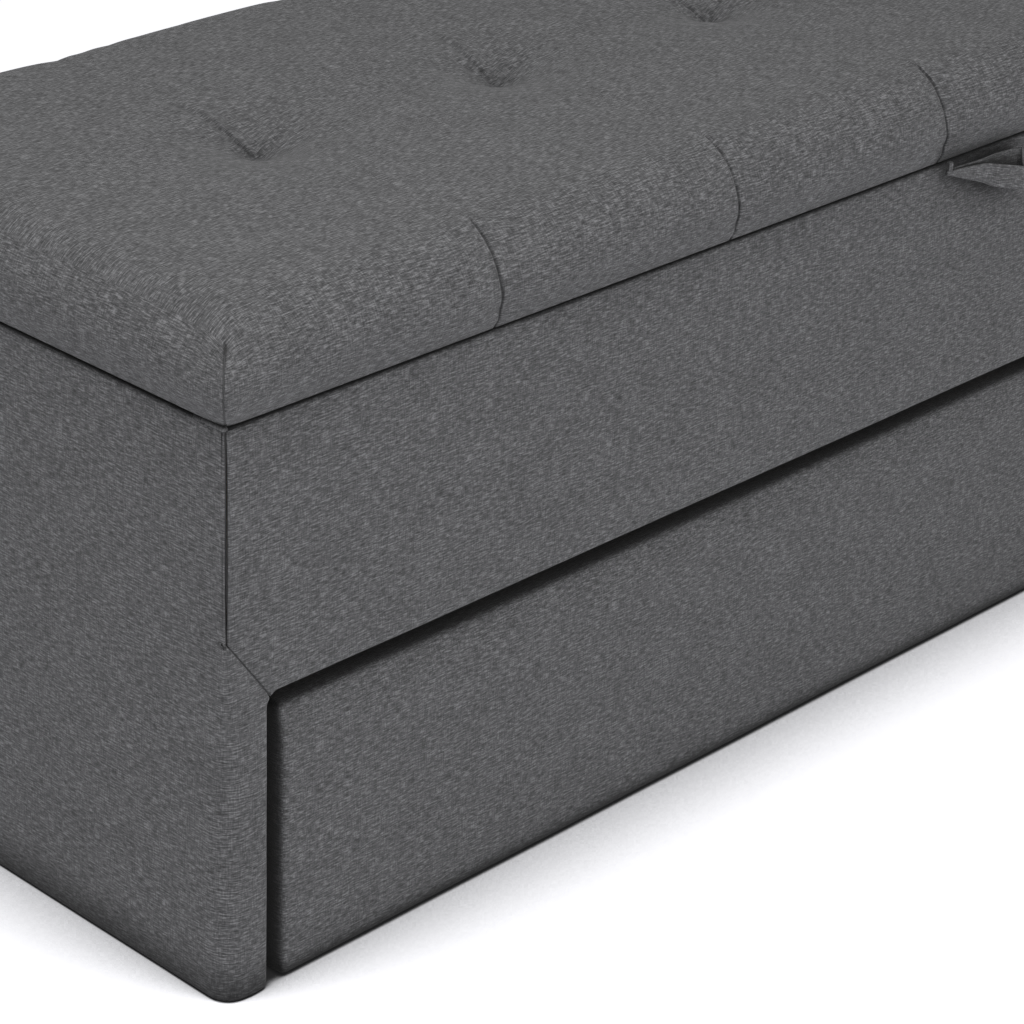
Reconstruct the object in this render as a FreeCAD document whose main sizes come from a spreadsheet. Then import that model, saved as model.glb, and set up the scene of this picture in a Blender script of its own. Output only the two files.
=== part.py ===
"""Upholstered bench bed with a lift-up padded lid and a pull-out trundle.

Frame: X runs along the bench, Y from front to back, Z up.  The origin is on the floor, in the
middle of the whole object's outline.  Lengths are millimetres.
"""
import FreeCAD, Part
import Sketcher
import os

SIZES = [
    # the bench as a whole
    ("bench_length", 1900, "length of the upholstered box"),
    ("bench_depth", 470, "depth of the upholstered box, front to back"),
    ("lid_line", 428.25, "height of the joint between box and lid, and of the hinge axis"),
    ("lid_gap", 1, "air between the box's top edge and the lid"),
    ("opening_height", 227, "floor to the lower edge of the upper front"),
    ("glide_height", 4, "height of the glides under the legs"),
    ("glide_radius", 9, "radius of a glide"),
    ("glide_inset", 35, "front or back face to a glide's centre"),
    # boards and upholstery of the box
    ("board", 18, "thickness of the structural boards"),
    ("padding", 10, "foam and fabric over a board's face"),
    ("edge_wrap", 4, "fabric folded round the upper front's lower edge"),
    ("hem", 2, "fabric folded under the boards that reach the floor"),
    ("leg_return", 20, "depth of the padding on the inner face of a leg"),
    ("mitre_rise", 52, "height over which the leg seam runs diagonally"),
    ("floor_thickness", 12, "storage floor panel"),
    ("cleat", 20, "side of the square cleats"),
    ("cleat_setback", 50, "front face to the front ends of the side cleats"),
    # lid
    ("lid_height", 71.25, "height of the lid's pad, from its lower edge to its crown"),
    ("lid_overhang", 12, "lid padding beyond the box's faces"),
    ("lid_top_round", 35, "radius of the lid's upper edges"),
    ("lid_low_round", 11, "radius of the lid's lower edges"),
    ("lid_corner_round", 24, "radius of the lid's upright corners"),
    # hinges
    ("hinge_offset", 700, "middle of the bench to an outer hinge"),
    ("leaf_length", 60, "length of a hinge leaf along the axis"),
    ("leaf_width", 26, "hinge axis to the free edge of a leaf"),
    ("leaf_thickness", 1.5, "thickness of a hinge leaf"),
    ("knuckle_radius", 3.25, "outer radius of a hinge knuckle"),
    ("knuckle_relief", 0.5, "room round a knuckle"),
    ("knuckle_play", 0.2, "axial play between two knuckles"),
    ("pin_radius", 1.5, "radius of a hinge pin"),
    ("pin_clearance", 0.05, "radial play of a pin in its knuckles"),
    # pull tabs on the lid
    ("tab_offset", 237.5, "middle of the bench to the sewn end of a pull tab"),
    ("tab_length", 105, "length of a pull tab"),
    ("tab_width", 20, "width of the strap"),
    ("tab_thickness", 2.5, "thickness of the strap"),
    ("tab_opening", 9, "room between the two runs of the loop"),
    ("tab_clearance", 4.5, "upper front to the loop, room for its lower corner as it swings"),
    ("tab_droop", 9, "angle by which the loop hangs below level"),
    ("tab_drop", 3, "lid's lower edge to the loop's upper edge at its sewn end"),
    ("tab_roll_clearance", 0.4, "loop to the sewn roll that it turns about"),
    ("tab_roll_depth", 8, "length of the roll that is sewn into the lid's seam"),
    # trundle
    ("front_recess", 1.5, "upper front's face to the trundle front's face"),
    ("front_padding", 16.5, "padding over the trundle front's face"),
    ("front_side_gap", 9, "leg to the end of the trundle front"),
    ("front_top_gap", 11, "finger gap above the trundle front"),
    ("front_floor_gap", 3.5, "floor to the lower edge of the trundle front"),
    ("front_edge_pad", 5, "padding over the trundle front's upper and lower edges"),
    ("guide_width", 32, "width of the wooden guides on the side boards"),
    ("guide_height", 40, "height of the guides"),
    ("guide_floor_gap", 50, "floor to the lower face of the guides"),
    ("guide_clearance", 2, "guide to the trundle's side"),
    ("trundle_rear_gap", 5, "back board to the trundle's back"),
    ("trundle_side_height", 104, "height of the trundle's side and back boards"),
    ("stop_depth", 12, "front-to-back size of the pull-out stops"),
    ("stop_height", 30, "height of the stops"),
    ("stop_lift", 5, "top of a guide to the stop above it"),
    ("stop_clearance", 7, "trundle's side to a stop"),
    ("stop_front_gap", 2, "trundle front board to the stops when closed"),
    ("lug_clearance", 17, "side board to the lugs that meet the stops"),
    ("lug_height", 20, "height of a lug"),
    ("bearer_width", 80, "width of the boards that carry the castors"),
    ("bearer_inset", 28, "trundle's side face to a bearer"),
    ("slat_rail", 20, "side of the square slat rails"),
    ("slat_count", 14, "number of slats"),
    ("slat_width", 70, "width of a slat"),
    ("slat_thickness", 12, "thickness of a slat"),
    ("slat_end_gap", 2, "end of a slat to the board beside it"),
    ("mattress_headroom", 25, "sleeping pad to the cleats above it"),
    ("mattress_gap", 8, "sleeping pad to the boards round it"),
    ("mattress_round", 14, "radius of the sleeping pad's edges"),
    # castors
    ("wheel_radius", 20, "radius of a castor wheel"),
    ("wheel_width", 20, "width of a castor wheel"),
    ("wheel_chamfer", 3, "chamfer on a wheel's rim"),
    ("wheel_side_play", 0.6, "wheel to a cheek of its bracket"),
    ("wheel_top_play", 4, "top of a wheel to its mounting plate"),
    ("bracket_sheet", 2, "sheet thickness of a castor bracket"),
    ("bracket_length", 50, "front-to-back length of a castor bracket"),
    ("bracket_flange", 12, "width of the mounting flange beside each cheek"),
    ("cheek_drop", 7, "axle centre to the lower edge of a cheek"),
    ("axle_radius", 3, "radius of a castor axle"),
    ("axle_clearance", 0.05, "radial play of a wheel on its axle"),
    ("axle_head_radius", 5, "radius of an axle's heads"),
    ("axle_head", 1.5, "thickness of an axle's heads"),
    ("castor_inset", 60, "trundle board's inner face to a castor's centre"),
]

doc = FreeCAD.newDocument("TrundleBed")
sheet = doc.addObject("Spreadsheet::Sheet", "Sizes")
for row, (alias, number, meaning) in enumerate(SIZES, start=1):
    sheet.set(f"A{row}", alias)
    sheet.set(f"B{row}", str(number))
    sheet.set(f"C{row}", meaning)
    sheet.setAlias(f"B{row}", alias)
doc.recompute()

sub_parts = []


def size(alias):
    """The name of one size, as expressions read it."""
    return f"Sizes.{alias}"


def value(expression):
    """The present number of an expression of the sheet's sizes."""
    return float(sheet.evalExpression(expression))


# ---- places that several sub-parts share, as expressions of the sheet ----
HALF_LENGTH = "(Sizes.bench_length / 2)"
SHIFT = ("((Sizes.tab_clearance + 2 * Sizes.tab_thickness + Sizes.tab_opening"
         " - Sizes.lid_overhang) / 2)")
FRONT = f"({SHIFT} - Sizes.bench_depth / 2)"
BACK = f"({SHIFT} + Sizes.bench_depth / 2)"
BOARD_FRONT = f"({FRONT} + Sizes.padding)"
BOARD_BACK = f"({BACK} - Sizes.padding)"
BAY_FRONT = f"({BOARD_FRONT} + Sizes.board)"
BAY_BACK = f"({BOARD_BACK} - Sizes.board)"
SIDE_OUT = f"({HALF_LENGTH} - Sizes.padding)"
SIDE_IN = f"({SIDE_OUT} - Sizes.board)"
LEG_IN = f"({SIDE_IN} - Sizes.padding)"
COVER_TOP = "(Sizes.lid_line - Sizes.lid_gap / 2)"
BOARD_TOP = "(Sizes.lid_line - Sizes.knuckle_radius)"
BOARD_LOW = "(Sizes.glide_height + Sizes.hem)"
FASCIA_LOW = "(Sizes.opening_height + Sizes.edge_wrap)"
CLEAT_LOW = f"({FASCIA_LOW} - Sizes.cleat)"
FLOOR_TOP = f"({FASCIA_LOW} + Sizes.floor_thickness)"
LID_LOW = "(Sizes.lid_line + Sizes.lid_gap / 2)"
LID_TOP = f"({LID_LOW} + Sizes.lid_height)"
LID_BOARD_LOW = "(Sizes.lid_line + Sizes.knuckle_radius)"
LID_BOARD_TOP = f"({LID_BOARD_LOW} + Sizes.board)"
TAB_OUTER = "(Sizes.tab_opening / 2 + Sizes.tab_thickness)"
TAB_Y = f"({FRONT} - Sizes.tab_clearance - {TAB_OUTER})"
TAB_TOP = f"({LID_LOW} - Sizes.tab_drop)"
HINGE_Y = f"({BACK} + Sizes.knuckle_radius + Sizes.knuckle_relief)"

TRUNDLE_FACE = f"({FRONT} + Sizes.front_recess)"
TRUNDLE_BOARD_FRONT = f"({TRUNDLE_FACE} + Sizes.front_padding)"
TRUNDLE_BOARD_BACK = f"({TRUNDLE_BOARD_FRONT} + Sizes.board)"
TRUNDLE_END = f"({LEG_IN} - Sizes.front_side_gap)"
TRUNDLE_TOP = "(Sizes.opening_height - Sizes.front_top_gap)"
TRUNDLE_SIDE_OUT = f"({SIDE_IN} - Sizes.guide_width - Sizes.guide_clearance)"
TRUNDLE_SIDE_IN = f"({TRUNDLE_SIDE_OUT} - Sizes.board)"
TRUNDLE_REAR = f"({BAY_BACK} - Sizes.trundle_rear_gap)"
TRUNDLE_REAR_IN = f"({TRUNDLE_REAR} - Sizes.board)"
PLATE_LOW = "(2 * Sizes.wheel_radius + Sizes.wheel_top_play)"
CHASSIS_LOW = f"({PLATE_LOW} + Sizes.bracket_sheet)"
RAIL_LOW = f"({CHASSIS_LOW} + Sizes.board)"
SLAT_LOW = f"({RAIL_LOW} + Sizes.slat_rail)"
SLAT_TOP = f"({SLAT_LOW} + Sizes.slat_thickness)"
STOP_FRONT = f"({TRUNDLE_BOARD_BACK} + Sizes.stop_front_gap)"
STOP_BACK = f"({STOP_FRONT} + Sizes.stop_depth)"
GUIDE_TOP = "(Sizes.guide_floor_gap + Sizes.guide_height)"
STOP_LOW = f"({GUIDE_TOP} + Sizes.stop_lift)"

SIDES = (("left", -1), ("right", 1))


# ---- building blocks ----
def centred(half):
    """A span that reaches the same distance either side of the middle."""
    return (f"-({half})", f"({half})")


def on_side(sign, inner, outer):
    """The span between two distances from the middle, on the left (-1) or the right (1)."""
    if sign > 0:
        return (inner, outer)
    return (f"-({outer})", f"-({inner})")


def place(thing, x, y, z):
    """Bind a sub-part's position to expressions."""
    for axis, expression in zip("xyz", (x, y, z)):
        thing.setExpression(f"Placement.Base.{axis}", expression)


def keep(thing, label):
    """Name an object as one of the finished sub-parts."""
    thing.Label = label
    sub_parts.append(thing)
    return thing


def block(x, y, z):
    """A box between three pairs of expressions."""
    thing = doc.addObject("Part::Box", "Block")
    for size_name, (low, high) in zip(("Length", "Width", "Height"), (x, y, z)):
        thing.setExpression(size_name, f"({high}) - ({low})")
    place(thing, x[0], y[0], z[0])
    return thing


def rod_x(x, y, z, radius):
    """A round bar along X."""
    bar = doc.addObject("Part::Cylinder", "Rod")
    bar.setExpression("Radius", radius)
    bar.setExpression("Height", f"({x[1]}) - ({x[0]})")
    bar.Placement = FreeCAD.Placement(FreeCAD.Vector(), FreeCAD.Rotation(FreeCAD.Vector(0, 1, 0), 90))
    place(bar, x[0], y, z)
    return bar


def rod_z(x, y, z, radius):
    """An upright round bar."""
    bar = doc.addObject("Part::Cylinder", "Rod")
    bar.setExpression("Radius", radius)
    bar.setExpression("Height", f"({z[1]}) - ({z[0]})")
    place(bar, x, y, z[0])
    return bar


def join(pieces):
    """One solid out of several that touch or overlap."""
    whole = doc.addObject("Part::MultiFuse", "Join")
    whole.Shapes = pieces
    whole.Refine = True
    return whole


def cut(base, tools):
    """The base without the tools."""
    result = doc.addObject("Part::Cut", "Cut")
    result.Base = base
    result.Tool = join(tools) if len(tools) > 1 else tools[0]
    result.Refine = True
    return result


def origin_plane(body, role):
    """One of a body's own origin planes, by its role."""
    return next(item for item in body.Origin.OriginFeatures if item.Role == role)


def outline(body, plane, points):
    """A closed sketch through points, each bound to its two expressions."""
    sketch = body.newObject("Sketcher::SketchObject", "Outline")
    sketch.AttachmentSupport = [(origin_plane(body, plane), "")]
    sketch.MapMode = "FlatFace"
    corners = [FreeCAD.Vector(value(a), value(b), 0) for a, b in points]
    count = len(corners)
    for number in range(count):
        sketch.addGeometry(Part.LineSegment(corners[number], corners[(number + 1) % count]), False)
    for number in range(count):
        sketch.addConstraint(Sketcher.Constraint("Coincident", number, 2, (number + 1) % count, 1))
    for number, (across, up) in enumerate(points):
        for kind, expression in (("DistanceX", across), ("DistanceY", up)):
            index = sketch.addConstraint(
                Sketcher.Constraint(kind, -1, 1, number, 1, value(expression)))
            sketch.setExpression(f"Constraints[{index}]", expression)
    return sketch


def padded_block(x, y, z, rounds):
    """A body: a box with some of its edges rounded; rounds is (radius, edge test) pairs."""
    body = doc.addObject("PartDesign::Body", "Padded")
    core = body.newObject("PartDesign::AdditiveBox", "Core")
    for size_name, (low, high) in zip(("Length", "Width", "Height"), (x, y, z)):
        core.setExpression(size_name, f"({high}) - ({low})")
    place(body, x[0], y[0], z[0])
    doc.recompute()
    last = core
    for radius, wanted in rounds:
        limits = last.Shape.BoundBox
        names = [f"Edge{number}" for number, edge in enumerate(last.Shape.Edges, start=1)
                 if wanted(edge.BoundBox, limits)]
        fillet = body.newObject("PartDesign::Fillet", "Round")
        fillet.Base = (last, names)
        fillet.setExpression("Radius", radius)
        doc.recompute()
        last = fillet
    body.Tip = last
    return body


def upright(edge, whole):
    """An edge that runs from the bottom of a block to its top."""
    return edge.ZLength > 0.9 * whole.ZLength


def top_rim(edge, whole):
    """An edge that lies in the top face."""
    return edge.ZMin > whole.ZMax - 1e-3


def bottom_rim(edge, whole):
    """An edge that lies in the bottom face."""
    return edge.ZMax < whole.ZMin + 1e-3


# ---- the box ----
def side_boards():
    """The two end walls, which are also the legs."""
    for name, sign in SIDES:
        board = block(on_side(sign, SIDE_IN, SIDE_OUT), (BOARD_FRONT, BOARD_BACK),
                      (BOARD_LOW, BOARD_TOP))
        keep(board, f"side_board_{name}")


def long_boards():
    """The upper front board and the full-height back board."""
    keep(block(centred(SIDE_IN), (BOARD_FRONT, BAY_FRONT), (FASCIA_LOW, BOARD_TOP)), "front_board")
    keep(block(centred(SIDE_IN), (BAY_BACK, BOARD_BACK), (BOARD_LOW, BOARD_TOP)), "back_board")


def storage_floor():
    """The compartment's floor, with its cleats and the brace under it."""
    keep(block(centred(SIDE_IN), (BAY_FRONT, BAY_BACK), (FASCIA_LOW, FLOOR_TOP)), "storage_floor")
    under = (CLEAT_LOW, FASCIA_LOW)
    cleat_back = f"{BAY_BACK} - Sizes.cleat"
    for name, sign in SIDES:
        cleat = block(on_side(sign, f"{SIDE_IN} - Sizes.cleat", SIDE_IN),
                      (f"{FRONT} + Sizes.cleat_setback", cleat_back), under)
        keep(cleat, f"side_cleat_{name}")
    keep(block(centred(SIDE_IN), (cleat_back, BAY_BACK), under), "back_cleat")
    keep(block(centred("Sizes.cleat"), (f"{FRONT} + Sizes.cleat_setback", cleat_back), under),
         "floor_brace")


def mitre(sign):
    """The triangle on a leg's front between the opening's corner and the corner seam."""
    wedge = doc.addObject("PartDesign::Body", "Mitre")
    points = [(f"{sign} * {LEG_IN}", size("opening_height")),
              (f"{sign} * {HALF_LENGTH}", size("opening_height")),
              (f"{sign} * {HALF_LENGTH}", "Sizes.opening_height + Sizes.mitre_rise")]
    sketch = outline(wedge, "XZ_Plane", points)
    pad = wedge.newObject("PartDesign::Pad", "Pad")
    pad.Profile = sketch
    pad.setExpression("Length", size("padding"))
    place(wedge, "0", BOARD_FRONT, "0")
    return wedge


def side_covers():
    """Padded fabric over each end wall, wrapped round the leg at its front."""
    for name, sign in SIDES:
        low = size("glide_height")
        board_span = (BOARD_FRONT, BOARD_BACK)
        board_width = on_side(sign, SIDE_IN, SIDE_OUT)
        face = block(on_side(sign, SIDE_OUT, HALF_LENGTH), (FRONT, BACK), (low, COVER_TOP))
        top = block(board_width, board_span, (BOARD_TOP, COVER_TOP))
        hem = block(board_width, board_span, (low, BOARD_LOW))
        leg_front = block(on_side(sign, LEG_IN, SIDE_OUT), (FRONT, BOARD_FRONT),
                          (low, size("opening_height")))
        leg_inside = block(on_side(sign, LEG_IN, SIDE_IN),
                           (BOARD_FRONT, f"{BOARD_FRONT} + Sizes.leg_return"),
                           (low, size("opening_height")))
        keep(join([face, top, hem, leg_front, leg_inside, mitre(sign)]), f"side_cover_{name}")


def front_cover():
    """Padded fabric over the upper front, between the two mitre seams."""
    skin = block(centred(SIDE_OUT), (FRONT, BOARD_FRONT), (size("opening_height"), COVER_TOP))
    top = block(centred(SIDE_IN), (BOARD_FRONT, BAY_FRONT), (BOARD_TOP, COVER_TOP))
    low = block(centred(LEG_IN), (BOARD_FRONT, BAY_FRONT), (size("opening_height"), FASCIA_LOW))
    keep(cut(join([skin, top, low]), [mitre(-1), mitre(1)]), "front_cover")


def hinge_centres():
    """The middle of each hinge along X."""
    return (("left", f"-{size('hinge_offset')}"), ("middle", "0"), ("right", size("hinge_offset")))


def along(centre, low, high):
    """A span along X measured from a hinge's middle."""
    return (f"({centre}) + ({low})", f"({centre}) + ({high})")


def hinge_notches(low, high):
    """Room for the three hinges in fabric and padding between two heights."""
    half = "Sizes.leaf_length / 2 + Sizes.knuckle_relief"
    return [block(along(centre, f"-({half})", half),
                  (BAY_BACK, f"{BACK} + 2 * Sizes.lid_overhang"), (low, high))
            for _, centre in hinge_centres()]


def back_cover():
    """Padded fabric over the back, notched for the hinges."""
    skin = block(centred(SIDE_OUT), (BOARD_BACK, BACK), (size("glide_height"), COVER_TOP))
    top = block(centred(SIDE_IN), (BAY_BACK, BOARD_BACK), (BOARD_TOP, COVER_TOP))
    keep(cut(join([skin, top]), hinge_notches(BOARD_TOP, size("lid_line"))), "back_cover")


def glides():
    """Four round glides under the end walls."""
    for name, sign in SIDES:
        x = f"{sign} * ({SIDE_IN} + Sizes.board / 2)"
        for end, y in (("front", f"{FRONT} + Sizes.glide_inset"),
                       ("back", f"{BACK} - Sizes.glide_inset")):
            glide = rod_z(x, y, ("0", size("glide_height")), size("glide_radius"))
            keep(glide, f"glide_{end}_{name}")


def guides_and_stops():
    """Wooden guides that keep the trundle straight, and the stops that end its travel."""
    for name, sign in SIDES:
        guide = block(on_side(sign, f"{SIDE_IN} - Sizes.guide_width", SIDE_IN),
                      (STOP_BACK, BAY_BACK),
                      (size("guide_floor_gap"), GUIDE_TOP))
        keep(guide, f"guide_{name}")
        stop = block(on_side(sign, f"{TRUNDLE_SIDE_OUT} + Sizes.stop_clearance", SIDE_IN),
                     (STOP_FRONT, STOP_BACK), (STOP_LOW, f"{STOP_LOW} + Sizes.stop_height"))
        keep(stop, f"stop_{name}")


# ---- the hinges ----
def hinge_leaf(centre, plate_z, knuckles, gaps, label):
    """A leaf: a plate that ends in knuckles, cut back where the other leaf's knuckles turn."""
    half = "Sizes.leaf_length / 2"
    relief_y = (f"{HINGE_Y} - Sizes.knuckle_radius - Sizes.knuckle_relief",
                f"{HINGE_Y} + Sizes.knuckle_radius")
    plate = block(along(centre, f"-{half}", half), (f"{HINGE_Y} - Sizes.leaf_width", HINGE_Y),
                  plate_z)
    relieved = cut(plate, [block(along(centre, *span), relief_y, plate_z) for span in gaps])
    barrels = [rod_x(along(centre, *span), HINGE_Y, size("lid_line"), size("knuckle_radius"))
               for span in knuckles]
    bore = rod_x(along(centre, f"-{half}", half), HINGE_Y, size("lid_line"),
                 "Sizes.pin_radius + Sizes.pin_clearance")
    keep(cut(join([relieved] + barrels), [bore]), label)


def hinges():
    """Three butt hinges: a lower leaf on the back board, an upper leaf under the lid, a pin."""
    half = "Sizes.leaf_length / 2"
    third = "Sizes.leaf_length / 6"
    play = "Sizes.knuckle_play / 2"
    outer = [(f"-{half}", f"-{third} - {play}"), (f"{third} + {play}", half)]
    inner = [(f"-{third} + {play}", f"{third} - {play}")]
    outer_gap = [(f"-{half}", f"-{third} + {play}"), (f"{third} - {play}", half)]
    inner_gap = [(f"-{third} - {play}", f"{third} + {play}")]
    for name, centre in hinge_centres():
        hinge_leaf(centre, (BOARD_TOP, f"{BOARD_TOP} + Sizes.leaf_thickness"), outer, inner_gap,
                   f"hinge_leaf_lower_{name}")
        hinge_leaf(centre, (f"{LID_BOARD_LOW} - Sizes.leaf_thickness", LID_BOARD_LOW), inner,
                   outer_gap, f"hinge_leaf_upper_{name}")
        pin = rod_x(along(centre, f"-{half}", half), HINGE_Y, size("lid_line"), size("pin_radius"))
        keep(pin, f"hinge_pin_{name}")


# ---- the lid ----
def lid():
    """The lid's board, its tufted pad and the lining under it."""
    board_y = (BOARD_FRONT, BOARD_BACK)
    keep(block(centred(SIDE_OUT), board_y, (LID_BOARD_LOW, LID_BOARD_TOP)), "lid_board")
    pad = padded_block(centred(f"{HALF_LENGTH} + Sizes.lid_overhang"),
                       (f"{FRONT} - Sizes.lid_overhang", f"{BACK} + Sizes.lid_overhang"),
                       (LID_LOW, LID_TOP),
                       [(size("lid_corner_round"), upright), (size("lid_low_round"), bottom_rim),
                        (size("lid_top_round"), top_rim)])
    pocket = block(centred(SIDE_OUT), board_y, (LID_LOW, LID_BOARD_TOP))
    notch_top = f"{LID_BOARD_LOW} + Sizes.knuckle_relief"
    rolls = [tab_roll(sign, size("tab_roll_clearance")) for _, sign in SIDES]
    keep(cut(pad, [pocket] + hinge_notches(size("lid_line"), notch_top) + rolls), "lid_pad")
    lining = block(centred(SIDE_OUT), board_y, (LID_LOW, LID_BOARD_LOW))
    keep(cut(lining, hinge_notches(size("lid_line"), notch_top)), "lid_lining")


def tab_roll(sign, clearance):
    """The sewn roll at a pull tab's root, which the loop turns about."""
    return rod_z(f"({sign} * Sizes.tab_offset)", TAB_Y,
                 (f"{TAB_TOP} - Sizes.tab_width", f"{LID_LOW} + Sizes.tab_roll_depth"),
                 f"Sizes.tab_opening / 2 - {clearance}")


def pull_tabs():
    """Two strap loops at the lid's front edge, each on the roll that is sewn into the lid."""
    run = f"(Sizes.tab_length - 2 * {TAB_OUTER})"
    height = ("-Sizes.tab_width", "0")
    for name, sign in SIDES:
        ends = ("0", run) if sign < 0 else (f"-{run}", "0")
        rings = [join([block(ends, (f"-{radius}", radius), height),
                       rod_z(ends[0], "0", height, radius),
                       rod_z(ends[1], "0", height, radius)])
                 for radius in (TAB_OUTER, "(Sizes.tab_opening / 2)")]
        loop = cut(rings[0], [rings[1]])
        axis = FreeCAD.Vector(0, -sign, 0)
        loop.Placement = FreeCAD.Placement(FreeCAD.Vector(), FreeCAD.Rotation(axis, 1))
        loop.setExpression("Placement.Rotation.Angle", size("tab_droop"))
        place(loop, f"({sign} * Sizes.tab_offset)", TAB_Y, TAB_TOP)
        keep(loop, f"pull_tab_{name}")
        keep(tab_roll(sign, size("tab_roll_clearance")), f"tab_roll_{name}")


# ---- the trundle ----
def trundle_front():
    """The front board and the padded cover over its face and edges."""
    edge = "Sizes.front_edge_pad"
    inner = [centred(f"{TRUNDLE_END} - Sizes.padding"), (TRUNDLE_BOARD_FRONT, TRUNDLE_BOARD_BACK),
             (f"Sizes.front_floor_gap + {edge}", f"{TRUNDLE_TOP} - {edge}")]
    keep(block(*inner), "trundle_front_board")
    outer = block(centred(TRUNDLE_END), (TRUNDLE_FACE, TRUNDLE_BOARD_BACK),
                  (size("front_floor_gap"), TRUNDLE_TOP))
    keep(cut(outer, [block(*inner)]), "trundle_front_cover")


def trundle_box():
    """Side boards, the back board with its two lugs, and the bearers that carry the castors."""
    walls = (CHASSIS_LOW, f"{CHASSIS_LOW} + Sizes.trundle_side_height")
    inside = (TRUNDLE_BOARD_BACK, TRUNDLE_REAR_IN)
    for name, sign in SIDES:
        keep(block(on_side(sign, TRUNDLE_SIDE_IN, TRUNDLE_SIDE_OUT), inside, walls),
             f"trundle_side_{name}")
        bearer_out = f"{TRUNDLE_SIDE_OUT} - Sizes.bearer_inset"
        keep(block(on_side(sign, f"{bearer_out} - Sizes.bearer_width", bearer_out), inside,
                   (CHASSIS_LOW, RAIL_LOW)), f"trundle_bearer_{name}")
    lug_z = (f"{STOP_LOW} + (Sizes.stop_height - Sizes.lug_height) / 2",
             f"{STOP_LOW} + (Sizes.stop_height + Sizes.lug_height) / 2")
    rear = (TRUNDLE_REAR_IN, TRUNDLE_REAR)
    pieces = [block(centred(TRUNDLE_SIDE_OUT), rear, walls)]
    for _, sign in SIDES:
        lug_x = on_side(sign, TRUNDLE_SIDE_OUT, f"{SIDE_IN} - Sizes.lug_clearance")
        pieces.append(block(lug_x, rear, lug_z))
    keep(join(pieces), "trundle_back_board")


def slatted_base():
    """Two rails and the slats that lie across them."""
    rail_z = (RAIL_LOW, SLAT_LOW)
    keep(block(centred(TRUNDLE_SIDE_IN),
               (TRUNDLE_BOARD_BACK, f"{TRUNDLE_BOARD_BACK} + Sizes.slat_rail"), rail_z),
         "slat_rail_front")
    keep(block(centred(TRUNDLE_SIDE_IN),
               (f"{TRUNDLE_REAR_IN} - Sizes.slat_rail", TRUNDLE_REAR_IN), rail_z),
         "slat_rail_back")
    count = int(value(size("slat_count")))
    pitch = f"(2 * {TRUNDLE_SIDE_IN} / Sizes.slat_count)"
    slats = []
    for number in range(count):
        centre = f"(-{TRUNDLE_SIDE_IN} + ({number} + 0.5) * {pitch})"
        slats.append(block((f"{centre} - Sizes.slat_width / 2", f"{centre} + Sizes.slat_width / 2"),
                           (f"{TRUNDLE_BOARD_BACK} + Sizes.slat_end_gap",
                            f"{TRUNDLE_REAR_IN} - Sizes.slat_end_gap"), (SLAT_LOW, SLAT_TOP)))
    base = doc.addObject("Part::Compound", "Slats")
    base.Links = slats
    keep(base, "slats")


def mattress():
    """The thin sleeping pad on the slats."""
    gap = "Sizes.mattress_gap"
    pad = padded_block(centred(f"{TRUNDLE_SIDE_IN} - {gap}"),
                       (f"{TRUNDLE_BOARD_BACK} + {gap}", f"{TRUNDLE_REAR_IN} - {gap}"),
                       (SLAT_TOP, f"{CLEAT_LOW} - Sizes.mattress_headroom"),
                       [(size("mattress_round"), upright), (size("mattress_round"), bottom_rim),
                        (size("mattress_round"), top_rim)])
    keep(pad, "mattress")


# ---- the castors ----
def castor_bracket(x, y, label):
    """A bent-sheet bracket: two cheeks that hold the axle, and a flange either side."""
    cheek_in = "(Sizes.wheel_width / 2 + Sizes.wheel_side_play)"
    cheek_out = f"({cheek_in} + Sizes.bracket_sheet)"
    flange_out = f"({cheek_out} + Sizes.bracket_flange)"
    span_y = (f"{y} - Sizes.bracket_length / 2", f"{y} + Sizes.bracket_length / 2")
    cheek_z = ("Sizes.wheel_radius - Sizes.cheek_drop", CHASSIS_LOW)
    plate = block((f"{x} - {flange_out}", f"{x} + {flange_out}"), span_y, (PLATE_LOW, CHASSIS_LOW))
    cheeks = [block((f"{x} - {cheek_out}", f"{x} - {cheek_in}"), span_y, cheek_z),
              block((f"{x} + {cheek_in}", f"{x} + {cheek_out}"), span_y, cheek_z)]
    hole = rod_x((f"{x} - {flange_out}", f"{x} + {flange_out}"), y, size("wheel_radius"),
                 size("axle_radius"))
    keep(cut(join([plate] + cheeks), [hole]), label)


def castor_axle(x, y, label):
    """A riveted axle with a flat head outside each cheek."""
    cheek_out = "(Sizes.wheel_width / 2 + Sizes.wheel_side_play + Sizes.bracket_sheet)"
    head_out = f"({cheek_out} + Sizes.axle_head)"
    z = size("wheel_radius")
    shank = rod_x((f"{x} - {cheek_out}", f"{x} + {cheek_out}"), y, z, size("axle_radius"))
    heads = [rod_x((f"{x} - {head_out}", f"{x} - {cheek_out}"), y, z, size("axle_head_radius")),
             rod_x((f"{x} + {cheek_out}", f"{x} + {head_out}"), y, z, size("axle_head_radius"))]
    keep(join([shank] + heads), label)


def castor_wheel(x, y, label):
    """A wheel turned about its axle, with a chamfered rim."""
    half = "Sizes.wheel_width / 2"
    rim = "Sizes.wheel_radius"
    bore = "Sizes.axle_radius + Sizes.axle_clearance"
    cut_back = "Sizes.wheel_chamfer"
    body = doc.addObject("PartDesign::Body", "Wheel")
    sketch = outline(body, "XY_Plane", [
        (f"-{half}", bore), (half, bore), (half, f"{rim} - {cut_back}"),
        (f"{half} - {cut_back}", rim), (f"-{half} + {cut_back}", rim),
        (f"-{half}", f"{rim} - {cut_back}")])
    turned = body.newObject("PartDesign::Revolution", "Turned")
    turned.Profile = sketch
    turned.ReferenceAxis = (sketch, ["H_Axis"])
    turned.Angle = 360
    place(body, x, y, size("wheel_radius"))
    keep(body, label)


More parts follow.
